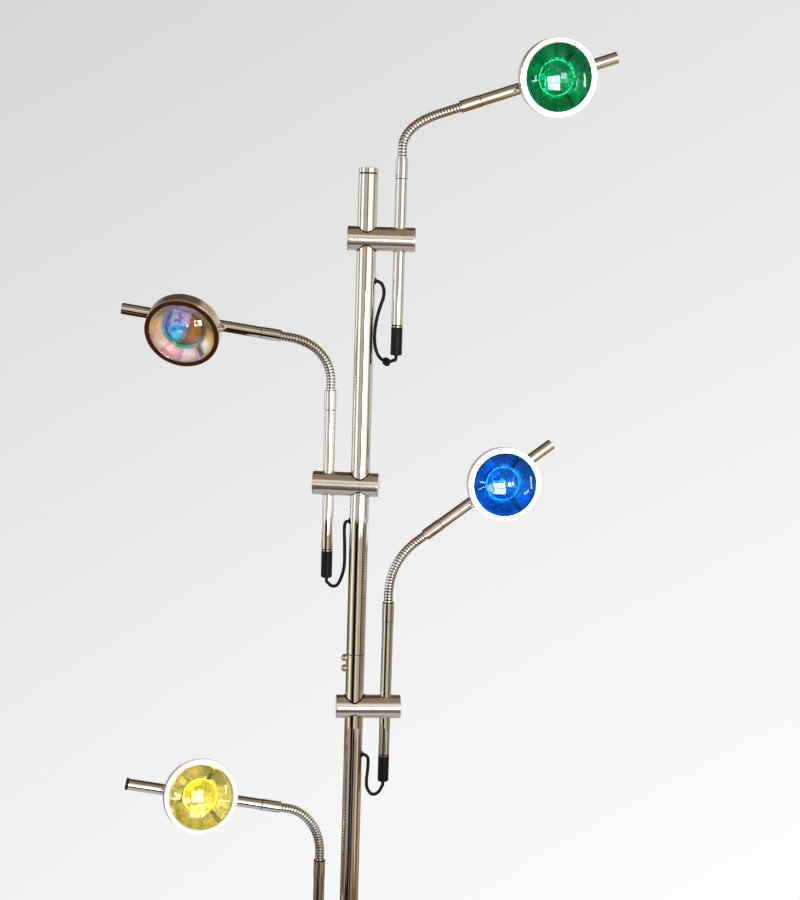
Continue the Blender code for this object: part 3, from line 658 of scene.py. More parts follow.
def placed(template, name, matrix, material, body, replaced=(), brushed=False):
    """A copy of a finished piece, with its own mesh, at its place in the lamp."""
    obj = template.copy()
    obj.data = template.data.copy()
    obj.name = name
    obj.data.name = name
    bpy.context.scene.collection.objects.link(obj)
    obj.data.transform(matrix)
    obj.data.materials.clear()
    obj.data.materials.append(material)
    if brushed:
        axis = matrix.to_3x3() @ up_by(1)
        keep_on_points(obj, "lathe_axis", "FLOAT_VECTOR", lambda point: axis)
    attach(obj, body)
    if replaced:
        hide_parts(*replaced)
    return obj


def frame_at(origin, along, up=(0, 0, 1)):
    """A frame with its Z along a direction, and its X as near as can be to another."""
    along, up = Vector(along).normalized(), Vector(up)
    if abs(along.dot(up)) > 0.999:
        up = Vector((1, 0, 0))
    across = (up - along * up.dot(along)).normalized()
    matrix = Matrix((across, along.cross(across), along)).transposed().to_4x4()
    matrix.translation = origin
    return matrix


def middle(node):
    """The middle of a node's distinct points, which lies on the axis of a turned one."""
    points = {tuple(round(c, 6) for c in vertex.co) for vertex in frame["nodes"][node].data.vertices}
    return sum((Vector(point) for point in points), Vector()) / len(points)


def joint_frame(name):
    joint = next(item for item in frame["joints"] if item["name"] == name)
    return Vector(joint.get("pos_m", (0, 0, 0))), Vector(joint["axis"])


# Shader nodes


def fill(tree, target, sockets):
    """Fills a node's sockets, by name or number, each with a value or with another node's output."""
    for key, value in sockets.items():
        socket = target.inputs[key]
        if isinstance(value, bpy.types.NodeSocket):
            tree.links.new(value, socket)
        else:
            socket.default_value = (*value, 1.0) if socket.type == "RGBA" else value


def add(tree, kind, sockets=(), **settings):
    """Adds a node of a kind, sets it and fills its sockets. Gives its outputs."""
    made = tree.nodes.new("ShaderNode" + kind)
    for name, value in settings.items():
        setattr(made, name, value)
    fill(tree, made, dict(sockets))
    return made.outputs


def maths(tree, operation, *values):
    return add(tree, "Math", enumerate(values), operation=operation)["Value"]


def vector_maths(tree, operation, *values):
    results = add(tree, "VectorMath", enumerate(values), operation=operation)
    return results["Value" if operation in ("LENGTH", "DOT_PRODUCT") else "Vector"]


def noise(tree, place, scale, detail=2.0, roughness=0.5, distortion=0.0):
    names = ("Vector", "Scale", "Detail", "Roughness", "Distortion")
    return add(tree, "TexNoise", zip(names, (place, scale, detail, roughness, distortion)))["Fac"]


def ranged(tree, value, low, high, low_in=0.0, high_in=1.0, interpolation="LINEAR"):
    """The value spread from low_in..high_in to low..high."""
    names = ("Value", "From Min", "From Max", "To Min", "To Max")
    sockets = zip(names, (value, low_in, high_in, low, high))
    return add(tree, "MapRange", sockets, interpolation_type=interpolation)["Result"]


def blended(tree, factor, first, second):
    """A colour between two, which are colours or outputs."""
    sockets = {"Factor": factor, "A": first, "B": second}
    return add(tree, "Mix", sockets, data_type="RGBA")["Result"]


def either_shader(tree, share, first, second):
    return add(tree, "MixShader", {"Fac": share, 1: first, 2: second})["Shader"]


def ramp(tree, value, stops):
    """Colours at places from 0 to 1."""
    colours = add(tree, "ValToRGB", {"Fac": value})["Color"]
    elements = colours.node.color_ramp.elements
    while len(elements) < len(stops):
        elements.new(0.5)
    for element, (place, colour) in zip(elements, stops):
        element.position = place
        element.color = (*colour, 1.0)
    return colours


def bump(tree, height, strength, distance):
    sockets = {"Height": height, "Strength": strength, "Distance": distance}
    return add(tree, "Bump", sockets)["Normal"]


def turned_input(tree):
    return add(tree, "Attribute", attribute_name="turned")["Vector"]


def object_input(tree):
    return add(tree, "TexCoord")["Object"]


def new_group(name, given, results):
    """A node group with these vector inputs and number outputs, its inputs' outputs and its end."""
    group = bpy.data.node_groups.new(name, "ShaderNodeTree")
    for socket in given:
        group.interface.new_socket(socket, in_out="INPUT", socket_type="NodeSocketVector")
    for socket in results:
        group.interface.new_socket(socket, in_out="OUTPUT", socket_type="NodeSocketFloat")
    return group, group.nodes.new("NodeGroupInput").outputs, group.nodes.new("NodeGroupOutput")


# Materials


def grain_group():
    """Fine brushed lines: noise drawn out along one way of the lathe. Its values are 0 to 1."""
    group, given, end = new_group("brushed_grain", ("Turned", "Scales"), ("Lines", "Patches"))
    scaled = vector_maths(group, "MULTIPLY", given["Turned"], given["Scales"])
    lines = noise(group, scaled, 1.0, detail=5.0, roughness=0.65)
    fill(group, end, {"Lines": lines, "Patches": noise(group, given["Turned"], 38.0, detail=3.0)})
    return group


def marks_group():
    """Handling marks: soft smudges over a polished face, 0 to 1."""
    group, given, end = new_group("handling_marks", ("Place",), ("Smudge",))
    smudge = noise(group, given["Place"], 55.0, detail=4.0, roughness=0.6)
    fill(group, end, {"Smudge": ranged(group, smudge, 0.0, 1.0, 0.48, 0.78)})
    return group


def new_material(name):
    material = bpy.data.materials.new(name)
    material.use_nodes = True
    return material, material.node_tree, material.node_tree.nodes["Principled BSDF"]


def polished_steel(
    name, marks, bright=(0.86, 0.84, 0.81), dull=(0.78, 0.75, 0.71), rough=(0.012, 0.05)
):
    """Polished metal with soft smudges, painted dark in its seams as painted shade."""
    material, tree, shader = new_material(name)
    smudge = add(tree, "Group", node_tree=marks)["Smudge"]
    fill(tree, smudge.node, {"Place": object_input(tree)})
    # painted shade: the points marked as seams take the dark seam colour
    seam = add(tree, "Attribute", attribute_name="seam")["Fac"]
    colour = blended(tree, smudge, bright, dull)
    sockets = {
        "Metallic": 1.0,
        "Base Color": blended(tree, seam, colour, SEAM_SHADE_COLOUR),
        "Roughness": ranged(tree, smudge, *rough),
    }
    fill(tree, shader, sockets)
    return material


def brushed_steel(
    name, grain, scales, dark=(0.68, 0.63, 0.56), light=(0.88, 0.84, 0.78), rough=(0.22, 0.27)
):
    """Steel brushed along the way in which the grain is scaled least."""
    material, tree, shader = new_material(name)
    axis = add(tree, "Attribute", attribute_name="lathe_axis")["Vector"]
    tangent = add(
        tree, "VectorTransform", {"Vector": axis},
        vector_type="VECTOR", convert_from="OBJECT", convert_to="WORLD",
    )["Vector"]
    brushed = add(
        tree, "Group", {"Turned": turned_input(tree), "Scales": scales}, node_tree=grain
    )
    fine = ranged(tree, brushed["Lines"], 0.0, 1.0, 0.32, 0.68)
    sockets = {
        "Metallic": 1.0,
        "Anisotropic": 0.85,
        "Tangent": tangent,
        "Base Color": blended(tree, fine, dark, light),
        "Roughness": ranged(tree, brushed["Patches"], *rough),
        "Normal": bump(tree, brushed["Lines"], 0.02, 0.02 * MM),
    }
    fill(tree, shader, sockets)
    return material


def black_moulding(name, roughness, speck_scale, speck_strength):
    """Black plastic or rubber with a fine even texture and a little dust."""
    material, tree, shader = new_material(name)
    place = object_input(tree)
    speck = noise(tree, place, speck_scale, detail=3.0)
    dusty = ranged(tree, noise(tree, place, 90.0, detail=5.0), 0.0, 1.0, 0.55, 0.80)
    sockets = {
        "Specular IOR Level": 0.22,
        "Base Color": blended(tree, dusty, MOULDED_BLACK, DUST_COLOUR),
        "Roughness": ranged(tree, speck, roughness - 0.08, roughness + 0.12),
        "Normal": bump(tree, speck, speck_strength, 0.05 * MM),
    }
    fill(tree, shader, sockets)
    return material


def cast_iron():
    material, tree, shader = new_material("cast_iron")
    lumps = noise(tree, object_input(tree), 260.0, detail=6.0)
    sockets = {
        "Metallic": 0.6,
        "Base Color": blended(tree, lumps, (0.05, 0.05, 0.05), (0.13, 0.12, 0.115)),
        "Roughness": ranged(tree, lumps, 0.5, 0.8),
        "Normal": bump(tree, lumps, 0.5, 0.4 * MM),
    }
    fill(tree, shader, sockets)
    return material


def lens_glass(number):
    """Tinted glass. Light from the lamps passes straight through it, so the reflector behind is lit."""
    colour = LENS_COLOURS[number]
    material, tree, shader = new_material(f"lens_glass_{number}")
    place = turned_input(tree)
    radius = vector_maths(tree, "LENGTH", place)
    share = ranged(tree, radius, 0.0, 1.0, 0.55 * LENS_VIEW_RADIUS, LENS_VIEW_RADIUS)
    edge = tuple(0.82 * channel for channel in colour)
    sockets = {
        "Transmission Weight": 1.0,
        "IOR": 1.5,
        "Base Color": blended(tree, share, colour, edge),
        "Roughness": ranged(tree, noise(tree, place, 130.0), 0.0, 0.05, 0.62, 0.80),
    }
    fill(tree, shader, sockets)
    clear = add(tree, "BsdfTransparent", {"Color": colour})["BSDF"]
    shadow = add(tree, "LightPath")["Is Shadow Ray"]
    seen = either_shader(tree, shadow, shader.outputs["BSDF"], clear)
    fill(tree, tree.nodes["Material Output"], {"Surface": seen})
    return material


def streak_share(tree, place, scale, reach):
    """Streaks that run out from the lathe's axis, 0 to 1."""
    level = vector_maths(tree, "MULTIPLY", place, (1.0, 1.0, 0.0))
    way = vector_maths(tree, "NORMALIZE", level)
    drift = vector_maths(tree, "MULTIPLY_ADD", place, (reach, reach, reach), way)
    return noise(tree, drift, scale, detail=4.0, roughness=0.6)


def reflector_metal(name, dark, light, rough):
    """Spun reflector metal: shallow rings and outward streaks, painted in as painted reflection."""
    material, tree, shader = new_material(name)
    place = turned_input(tree)
    sockets = {"Vector": place, "Scale": 170.0, "Distortion": 1.2, "Detail": 3.0}
    rings = add(tree, "TexWave", sockets, wave_type="RINGS", rings_direction="Z")["Fac"]
    streaks = streak_share(tree, place, 3.2, 20.0)
    # painted reflection: rings and streaks darken the colour; the streaks also vary the roughness
    ringed = blended(tree, rings, tuple(0.84 * channel for channel in light), light)
    reflection_streaks = ranged(tree, streaks, 0.0, 1.0, 0.44, 0.70)
    sockets = {
        "Metallic": 0.6,
        "Base Color": blended(tree, reflection_streaks, ringed, dark),
        "Roughness": ranged(tree, streaks, *rough),
        "Normal": bump(tree, rings, 0.12, 0.1 * MM),
    }
    fill(tree, shader, sockets)
    return material


def facet_metal(name, light, dark):
    """The lamp's own bowl, pressed with small facets."""
    material, tree, shader = new_material(name)
    cells = add(tree, "TexVoronoi", {"Vector": turned_input(tree), "Scale": 330.0})["Distance"]
    sockets = {
        "Metallic": 0.8,
        "Base Color": blended(tree, cells, light, dark),
        "Roughness": ranged(tree, cells, 0.03, 0.12),
        "Normal": bump(tree, cells, 0.7, 0.4 * MM),
    }
    fill(tree, shader, sockets)
    return material


def angle_share(tree, place):
    """The bearing round the lathe's axis, 0 to 1, starting at its -X and turning left."""
    parts = add(tree, "SeparateXYZ", {"Vector": place})
    turn = maths(tree, "ARCTAN2", parts["Y"], parts["X"])
    return ranged(tree, turn, 0.0, 1.0, -math.pi, math.pi)


def rainbow_reflection_metal(name, stops, band_stops=None):
    """Rainbow-coated reflector, its colours painted reflection shifting round it and across it."""
    material, tree, shader = new_material(name)
    place = turned_input(tree)
    stirred = noise(tree, place, 95.0, detail=4.0, distortion=0.6)
    shift = ranged(tree, stirred, -0.045, 0.045, 0.3, 0.7)
    moved = maths(tree, "ADD", angle_share(tree, place), shift)
    # painted reflection: the coating's colours as they show from in front, set by bearing
    colour = ramp(tree, moved, stops)
    if band_stops:
        band = STEP_RADII[1]
        outward = ranged(tree, vector_maths(tree, "LENGTH", place), 0.0, 1.0, band, band + BAND_FADE)
        colour = blended(tree, outward, ramp(tree, moved, band_stops), colour)
    roughness = ranged(tree, stirred, 0.10, 0.30)
    fill(tree, shader, {"Metallic": 0.2, "Base Color": colour, "Roughness": roughness})
    return material


def plain_glass(name):
    material, tree, shader = new_material(name)
    haze = noise(tree, turned_input(tree), 300.0)
    sockets = {
        "Transmission Weight": 1.0,
        "IOR": 1.45,
        "Base Color": blended(tree, haze, (0.98, 0.98, 0.98), (0.86, 0.87, 0.88)),
        "Roughness": ranged(tree, haze, 0.0, 0.12),
    }
    fill(tree, shader, sockets)
    return material


def make_looks():
    marks, grain = marks_group(), grain_group()
    silver = ((0.80, 0.76, 0.70), (0.97, 0.95, 0.91))
    warm_silver = ((0.80, 0.72, 0.60), (0.98, 0.92, 0.80))
    looks = {
        "steel": polished_steel("polished_steel", marks),
        "neck": polished_steel("neck_steel", marks),
        "clip": polished_steel(
            "spring_steel", marks, (0.30, 0.29, 0.27), (0.16, 0.15, 0.14), (0.12, 0.28)
        ),
        # the lamp rim: the polished steel painted darker, as painted shade
        "rim": polished_steel(
            "rim_steel", marks, (0.46, 0.45, 0.43), (0.26, 0.25, 0.24), (0.10, 0.22)
        ),
        # the thumb screws: the polished steel painted darker and browner, as painted reflection of the
        # brown room
        "knob": polished_steel(
            "knob_steel", marks, (0.80, 0.70, 0.54), (0.62, 0.52, 0.38), (0.03, 0.10)
        ),
        "clamp": brushed_steel("clamp_steel", grain, (5200.0, 5200.0, 45.0), *silver),
        "wall": brushed_steel("head_steel", grain, (60.0, 60.0, 4200.0), *warm_silver),
        "base": brushed_steel("base_steel", grain, (1500.0, 1500.0, 1500.0)),
        "iron": cast_iron(),
        "plastic": black_moulding("black_plastic", 0.36, 900.0, 0.10),
        "rubber": black_moulding("black_rubber", 0.50, 1400.0, 0.06),
        "reflector": reflector_metal(
            "spun_reflector", (0.42, 0.42, 0.41), (0.98, 0.98, 0.97), (0.08, 0.26)
        ),
        "facets": facet_metal("faceted_bowl", (0.98, 0.98, 0.97), (0.60, 0.60, 0.59)),
        # head 4's bowl painted yellow, as painted light from its yellow lens
        "yellow_lit_facets": facet_metal("yellow_lit_faceted_bowl", (1.0, 0.99, 0.26), (0.70, 0.64, 0.10)),
        "rainbow_outer": rainbow_reflection_metal("rainbow_reflector", OUTER_RAINBOW, BAND_RAINBOW),
        "rainbow_inner": rainbow_reflection_metal("rainbow_bowl", INNER_RAINBOW),
        "capsule": plain_glass("capsule_glass"),
    }
    for number in ARMS:
        looks[f"lens_{number}"] = lens_glass(number)
    return looks


# Turned pieces, each modelled once


def make_base_cover():
    edge = (BASE_RADIUS - BASE_EDGE_RADIUS, BASE_HEIGHT - BASE_EDGE_RADIUS)
    bore = POLE_RADIUS + SEAT_GAP
    profile = (
        [(BASE_RADIUS, BASE_LIFT)]
        + arc(*edge, BASE_EDGE_RADIUS, 0.0, QUARTER, BASE_EDGE_STEPS)
        + [(bore, BASE_HEIGHT), (bore, BASE_HEIGHT - BASE_WALL)]
        + arc(*edge, BASE_EDGE_RADIUS - BASE_WALL, QUARTER, 0.0, SMALL_STEPS)
        + [(BASE_RADIUS - BASE_WALL, BASE_LIFT)]
    )
    return rounded("base_cover_shape", profile, BASE_SIDES, EDGE, ring_section=True)


def make_tube(name, outer, inner, low, high, sides, edge):
    profile = ((inner, low), (outer, low), (outer, high), (inner, high))
    obj = rounded(name, profile, sides, edge, ring_section=True)
    # painted shade: the tube's rounded ends and its bore are darkened
    paint_seam_shade(obj, outer - SEAM_SHADE_SHARE * edge)
    return obj


def make_cap():
    """The pole's cap from its foot up, with the seam under it painted dark as painted shade."""
    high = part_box("pole_cap")[1]
    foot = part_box("pole_upper")[1].z
    profile = (
        (0, foot - CAP_NECK),
        (POLE_RADIUS - POLE_WALL - SEAT_GAP, foot - CAP_NECK),
        (POLE_RADIUS - CAP_NECK, foot + CAP_SEAM),
        (POLE_RADIUS, foot + CAP_SEAM),
        (POLE_RADIUS, high.z),
        (0, high.z),
    )
    obj = rounded("cap_shape", profile, POLE_SIDES, SEAM_EDGE)
    # painted shade: the seam under the cap is darkened
    paint_seam_shade(obj, POLE_RADIUS - SEAM_SHADE_SHARE * SEAM_EDGE, below=foot + CAP_SEAM + SEAM_EDGE)
    return obj


def make_knob():
    """A domed thumb screw standing off the pole along Z."""
    seat = POLE_RADIUS + SEAT_GAP
    start = -math.asin(KNOB_OVERHANG / KNOB_RADIUS)
    profile = (
        [(0, seat - POLE_WALL), (KNOB_NECK_RADIUS, seat - POLE_WALL)]
        + [(KNOB_NECK_RADIUS, seat - KNOB_COLLAR)]
        + arc(0, seat + KNOB_OVERHANG, KNOB_RADIUS, start, QUARTER, KNOB_STEPS)[:-1]
        + [(0, seat + KNOB_OVERHANG + KNOB_RADIUS)]
    )
    return smoothed("knob_shape", profile, KNOB_SIDES)


def across_clamp(obj, offset):
    """Turns a piece from Z to the clamp's X, and sets it at a bore."""
    obj.data.transform(Matrix.Translation(up_by(offset)) @ Matrix.Rotation(QUARTER, 4, "Y"))
    return obj


def make_clamp():
    """The clamp lies along Z, with the pole's bore across it at zero."""
    top = ARM_SPACING + CLAMP_OUTER_END
    low, high = CLAMP_EDGE - CLAMP_INNER_END, top - CLAMP_EDGE
    between = [low + (high - low) * step / CLAMP_RINGS for step in range(1, CLAMP_RINGS)]
    edge = CLAMP_RADIUS - CLAMP_EDGE
    profile = (
        [(0, -CLAMP_INNER_END)]
        + arc(edge, low, CLAMP_EDGE, -QUARTER, 0.0, EDGE_SEGMENTS)
        + [(CLAMP_RADIUS, height) for height in between]
        + arc(edge, high, CLAMP_EDGE, 0.0, QUARTER, EDGE_SEGMENTS)
        + [(0, top)]
    )
    obj = lathe("clamp_shape", profile, HEAD_SIDES)
    reach = 2.0 * CLAMP_RADIUS
    for radius, offset in ((POLE_BORE, 0.0), (ARM_BORE, ARM_SPACING)):
        profile = ((0, -reach), (radius, -reach), (radius, reach), (0, reach))
        cut_with(obj, across_clamp(lathe("bore_tool", profile, POLE_SIDES), offset), "DIFFERENCE")
    smooth(obj)
    return obj


def make_sleeve(name, outer, inner, offset):
    """A black bush round a bore of the clamp, trimmed a little below the clamp's own round face."""
    reach = CLAMP_RADIUS
    profile = ((inner, -reach), (outer, -reach), (outer, reach), (inner, reach))
    obj = across_clamp(lathe(name, profile, POLE_SIDES, ring_section=True), offset)
    trim = CLAMP_RADIUS - BUSH_SINK
    foot, top = -2 * CLAMP_INNER_END, 3 * CLAMP_INNER_END
    profile = ((0, foot), (trim, foot), (trim, top), (0, top))
    cut_with(obj, lathe("trim_tool", profile, POLE_SIDES), "INTERSECT")
    smooth(obj)
    return obj


def make_plug():
    """The black plug below zero, with its groove at the top."""
    ring_foot = -SEAT_GAP - PLUG_GROOVE - PLUG_RING
    groove = PLUG_RADIUS - PLUG_GROOVE_DEPTH
    mouth_top = 2 * PLUG_MOUTH - PLUG_LENGTH
    end = (PLUG_RADIUS - PLUG_END_RADIUS, PLUG_END_RADIUS - PLUG_LENGTH)
    profile = (
        [(0, 2 * PLUG_RING), (SPIGOT_RADIUS, 2 * PLUG_RING), (SPIGOT_RADIUS, -SEAT_GAP)]
        + [(groove, -SEAT_GAP), (groove, ring_foot), (PLUG_RADIUS, ring_foot)]
        + arc(*end, PLUG_END_RADIUS, 0.0, -QUARTER, SMALL_STEPS)
        + [(PLUG_MOUTH, -PLUG_LENGTH), (PLUG_MOUTH, mouth_top), (0, mouth_top)]
    )
    return rounded("plug_shape", profile, TUBE_SIDES, FINE_EDGE, FINE_SEGMENTS)


def make_plug_ring():
    top = -SEAT_GAP - PLUG_GROOVE
    inner = PLUG_RADIUS - 2 * PLUG_GROOVE_DEPTH
    return make_tube(
        "plug_ring_shape", PLUG_RADIUS, inner, top - PLUG_RING, top, TUBE_SIDES, FINE_EDGE
    )


def make_ferrule():
    """A ferrule from its seat on the tube at zero up to the mouth that the neck comes out of."""
    mouth = NECK_RADIUS + SEAT_GAP
    profile = (
        (NECK_BORE, -FERRULE_LIP),
        (SPIGOT_RADIUS, -FERRULE_LIP),
        (SPIGOT_RADIUS, SEAT_GAP),
        (FERRULE_RADIUS, SEAT_GAP),
        (FERRULE_RADIUS, FERRULE_LENGTH),
        (mouth, FERRULE_LENGTH),
        (mouth, FERRULE_LENGTH - FERRULE_SOCKET),
        (NECK_BORE, FERRULE_LENGTH - FERRULE_SOCKET),
    )
    obj = rounded("ferrule_shape", profile, TUBE_SIDES, EDGE, ring_section=True)
    # painted shade: the ferrule's rounded ends and its bore are darkened
    paint_seam_shade(obj, FERRULE_RADIUS - SEAM_SHADE_SHARE * EDGE)
    return obj


def make_straight_neck():
    """The ribbed hose before it is bent: one flat band with its groove, repeated up Z."""
    pitch = NECK_LENGTH / NECK_RIBS
    profile = [(NECK_RADIUS - depth * NECK_GROOVE, share * pitch) for share, depth in RIB_SHARES]
    obj = lathe("neck_shape", profile, NECK_SIDES)
    apply_modifier(
        obj,
        "ARRAY",
        count=NECK_RIBS,
        use_relative_offset=False,
        use_constant_offset=True,
        constant_offset_displace=(0, 0, pitch),
        use_merge_vertices=True,
        merge_threshold=0.01 * MM,
    )
    # painted shade: the bottoms of the grooves are darkened
    paint_seam_shade(obj, NECK_RADIUS - GROOVE_SHADE_SHARE * NECK_GROOVE)
    return obj


def make_rod():
    """The rod from its seam at zero, with a socket there for the ferrule's spigot."""
    socket = SPIGOT_RADIUS + SPIGOT_GAP
    foot_radius = ROD_RADIUS - 2 * SEAM_EDGE
    profile = (
        (0, FERRULE_LIP + SEAT_GAP),
        (socket, FERRULE_LIP + SEAT_GAP),
        (socket, -ROD_FOOT),
        (foot_radius, -ROD_FOOT),
        (foot_radius, SEAT_GAP),
        (ROD_RADIUS, SEAT_GAP),
        (ROD_RADIUS, ROD_LENGTH),
        (0, ROD_LENGTH),
    )
    obj = rounded("rod_shape", profile, TUBE_SIDES, ROD_EDGE)
    # painted shade: the rod's foot, at its seam with the ferrule, is darkened
    paint_seam_shade(obj, ROD_RADIUS - SEAM_SHADE_SHARE * ROD_EDGE, below=ROD_EDGE)
    return obj


def make_end_cap():
    foot, top = ROD_LENGTH - END_CAP_LENGTH + SEAM_EDGE, ROD_LENGTH + SEAM_EDGE
    radius = ROD_RADIUS + SEAM_EDGE
    profile = ((0, foot), (radius, foot), (radius, top), (0, top))
    return rounded("end_cap_shape", profile, TUBE_SIDES, ROD_EDGE)


def make_housing():
    """The can and the boss behind it. The face of the head lies at zero, with Z out of it."""
    front = -RING_THICKNESS - RING_SEAM
    can_bore = HEAD_RADIUS - HEAD_WALL
    boss_bore = BOSS_RADIUS - HEAD_WALL
    profile = (
        (0, -HEAD_DEPTH),
        (BOSS_RADIUS, -HEAD_DEPTH),
        (BOSS_RADIUS, -CAN_DEPTH),
        (HEAD_RADIUS, -CAN_DEPTH),
        (HEAD_RADIUS, front),
        (can_bore, front),
        (can_bore, HEAD_WALL - CAN_DEPTH),
        (boss_bore, HEAD_WALL - CAN_DEPTH),
        (boss_bore, HEAD_WALL - HEAD_DEPTH),
        (0, HEAD_WALL - HEAD_DEPTH),
    )
    return rounded("housing_shape", profile, HEAD_SIDES, HEAD_EDGE)


def make_ring():
    """The flat polished ring that holds the lens."""
    profile = (
        (LENS_VIEW_RADIUS, -RING_THICKNESS),
        (HEAD_RADIUS, -RING_THICKNESS),
        (HEAD_RADIUS, 0),
        (LENS_VIEW_RADIUS + RING_EDGE, 0),
        (LENS_VIEW_RADIUS, -RING_EDGE),
    )
    return rounded("ring_shape", profile, HEAD_SIDES, RING_EDGE, ring_section=True)


def make_lens():
    height = -RING_THICKNESS / 2
    outer = dome(LENS_RIM, height, LENS_RISE, LENS_STEPS)
    inner = dome(LENS_RIM, height - LENS_THICKNESS, LENS_RISE, LENS_STEPS)
    return smoothed("lens_shape", outer[::-1] + inner, HEAD_SIDES, DOME_ANGLE)


def make_reflector():
    """The cone from under the lens down to a gap round the lamp, with two steps on the way."""
    lip = HEAD_RADIUS - HEAD_WALL - LENS_GAP
    inner = LAMP_RADIUS + LAMP_RIM + LAMP_GAP
    foot = -LAMP_FACE_DEPTH
    fall = LAMP_FACE_DEPTH - REFLECTOR_TOP - len(STEP_RADII) * STEP_DROP
    slope = fall / (LENS_VIEW_RADIUS - inner)
    profile = [(lip, -REFLECTOR_TOP - HEAD_WALL)]
    profile += [(lip, -REFLECTOR_TOP), (LENS_VIEW_RADIUS, -REFLECTOR_TOP)]
    for index, radius in enumerate(STEP_RADII):
        height = -REFLECTOR_TOP - slope * (LENS_VIEW_RADIUS - radius) - index * STEP_DROP
        profile += [(radius, height), (radius - STEP_WIDTH, height - STEP_DROP)]
    profile += [(inner, foot), (inner, foot - HEAD_WALL)]
    return smoothed("reflector_shape", profile, HEAD_SIDES, STEP_ANGLE, ring_section=True)


def make_lamp_rim():
    """The rolled bright rim of the lamp."""
    half = 0.5 * LAMP_RIM
    centre, foot = LAMP_RADIUS + half, -LAMP_FACE_DEPTH - HEAD_WALL
    roll = arc(centre, LAMP_RIM_PROUD - LAMP_FACE_DEPTH, half, math.pi, 0.0, ROLL_STEPS)
    profile = [(centre - half, foot)] + roll + [(centre + half, foot)]
    return smoothed("lamp_rim_shape", profile, HEAD_SIDES, ring_section=True)


def make_bowl():
    """The lamp's deep bowl, open at the front, with the throat that the capsule sits in."""
    face = -LAMP_FACE_DEPTH
    back = face - BOWL_DEPTH - HEAD_WALL
    inside = []
    for step in range(BOWL_STEPS + 1):
        share = step / BOWL_STEPS
        radius = BOWL_THROAT + (BOWL_RADIUS - BOWL_THROAT) * math.sqrt(share)
        inside.append((radius, face - BOWL_DEPTH * (1.0 - share)))
    rim = [(LAMP_RADIUS, face - HEAD_WALL), (LAMP_RADIUS, face)]
    return smoothed("bowl_shape", rim + inside[::-1] + [(BOWL_THROAT, back), (0, back)], HEAD_SIDES)


def make_capsule():
    foot = -LAMP_FACE_DEPTH - BOWL_DEPTH
    top = foot + CAPSULE_LENGTH
    tip = arc(0, top - CAPSULE_RADIUS, CAPSULE_RADIUS, 0.0, QUARTER, ROLL_STEPS)[:-1]
    profile = [(0, foot), (CAPSULE_RADIUS, foot)] + tip + [(0, top)]
    return smoothed("capsule_shape", profile, SMALL_SIDES)


def make_clip():
    """A dark spring clip lying on the reflector along X, from the lens's edge to the lamp's rim."""
    outer = LENS_VIEW_RADIUS - CLIP_THICKNESS
    inner = LAMP_RADIUS + LAMP_RIM
    deselect()
    bpy.ops.mesh.primitive_cube_add(size=1.0, location=(0.5 * (outer + inner), 0, 0))
    obj = bpy.context.object
    obj.name = "clip_shape"
    obj.dimensions = (outer - inner, CLIP_WIDTH, CLIP_THICKNESS)
    bpy.ops.object.transform_apply(location=True, rotation=False, scale=True)
    bpy.ops.object.mode_set(mode="EDIT")
    bpy.ops.mesh.select_all(action="SELECT")
    bpy.ops.mesh.subdivide(number_cuts=CLIP_CUTS)
    bpy.ops.object.mode_set(mode="OBJECT")
    slope = (LAMP_FACE_DEPTH - REFLECTOR_TOP) / (LENS_VIEW_RADIUS - inner)
    for vertex in obj.data.vertices:
        out = vertex.co.x - inner
        share = out / (outer - inner)
        vertex.co.y *= 1.0 - CLIP_TAPER + CLIP_TAPER * share
        vertex.co.z += slope * out - LAMP_FACE_DEPTH + CLIP_BOW * (1.0 - share**2)
    soften(obj, CLIP_EDGE, FINE_SEGMENTS)
    return obj


def make_pin():
    shoulder = PIN_LENGTH - PIN_TIP_LENGTH
    profile = (
        (0, -PIN_RADIUS),
        (PIN_RADIUS, -PIN_RADIUS),
        (PIN_RADIUS, shoulder),
        (PIN_TIP_RADIUS, shoulder),
        (PIN_TIP_RADIUS, PIN_LENGTH),
        (0, PIN_LENGTH),
    )
    return rounded("pin_shape", profile, SMALL_SIDES, FINE_EDGE, FINE_SEGMENTS)


def make_grommet():
    """A black ring seated in the pole's wall, pointing along Z away from the pole's axis."""
    seat = math.sqrt(POLE_RADIUS**2 - GROMMET_RADIUS**2)
    top = POLE_RADIUS + GROMMET_PROUD
    edge = (GROMMET_RADIUS - GROMMET_PROUD, top - GROMMET_PROUD)
    profile = (
        [(GROMMET_BORE, seat - POLE_WALL), (GROMMET_RADIUS, seat - POLE_WALL)]
        + arc(*edge, GROMMET_PROUD, 0.0, QUARTER, SMALL_STEPS)
        + [(GROMMET_BORE, top)]
    )
    return smoothed("grommet_shape", profile, SMALL_SIDES, ring_section=True)


def make_shapes():
    """Every repeated piece, modelled once."""
    bore = ARM_TUBE_RADIUS - ARM_TUBE_WALL
    shapes = {
        "clamp": make_clamp(),
        "pole_bush": make_sleeve("pole_bush_shape", BUSH_RADIUS, BUSH_BORE, 0.0),
        "arm_bush": make_sleeve("arm_bush_shape", ARM_BORE, ARM_BUSH_BORE, ARM_SPACING),
        "tube": make_tube(
            "tube_shape", ARM_TUBE_RADIUS, bore, 0.0, ARM_TUBE_LENGTH, TUBE_SIDES, EDGE
        ),
        "plug": make_plug(),
        "plug_ring": make_plug_ring(),
        "ferrule": make_ferrule(),
        "neck": make_straight_neck(),
        "rod": make_rod(),
        "end_cap": make_end_cap(),
        "housing": make_housing(),
        "ring": make_ring(),
        "lens": make_lens(),
        "reflector": make_reflector(),
        "lamp_rim": make_lamp_rim(),
        "bowl": make_bowl(),
        "capsule": make_capsule(),
        "clip": make_clip(),
        "pin": make_pin(),
        "grommet": make_grommet(),
    }
    for shape in shapes.values():
        keep_turned_place(shape)
    return shapes


# Necks and leads


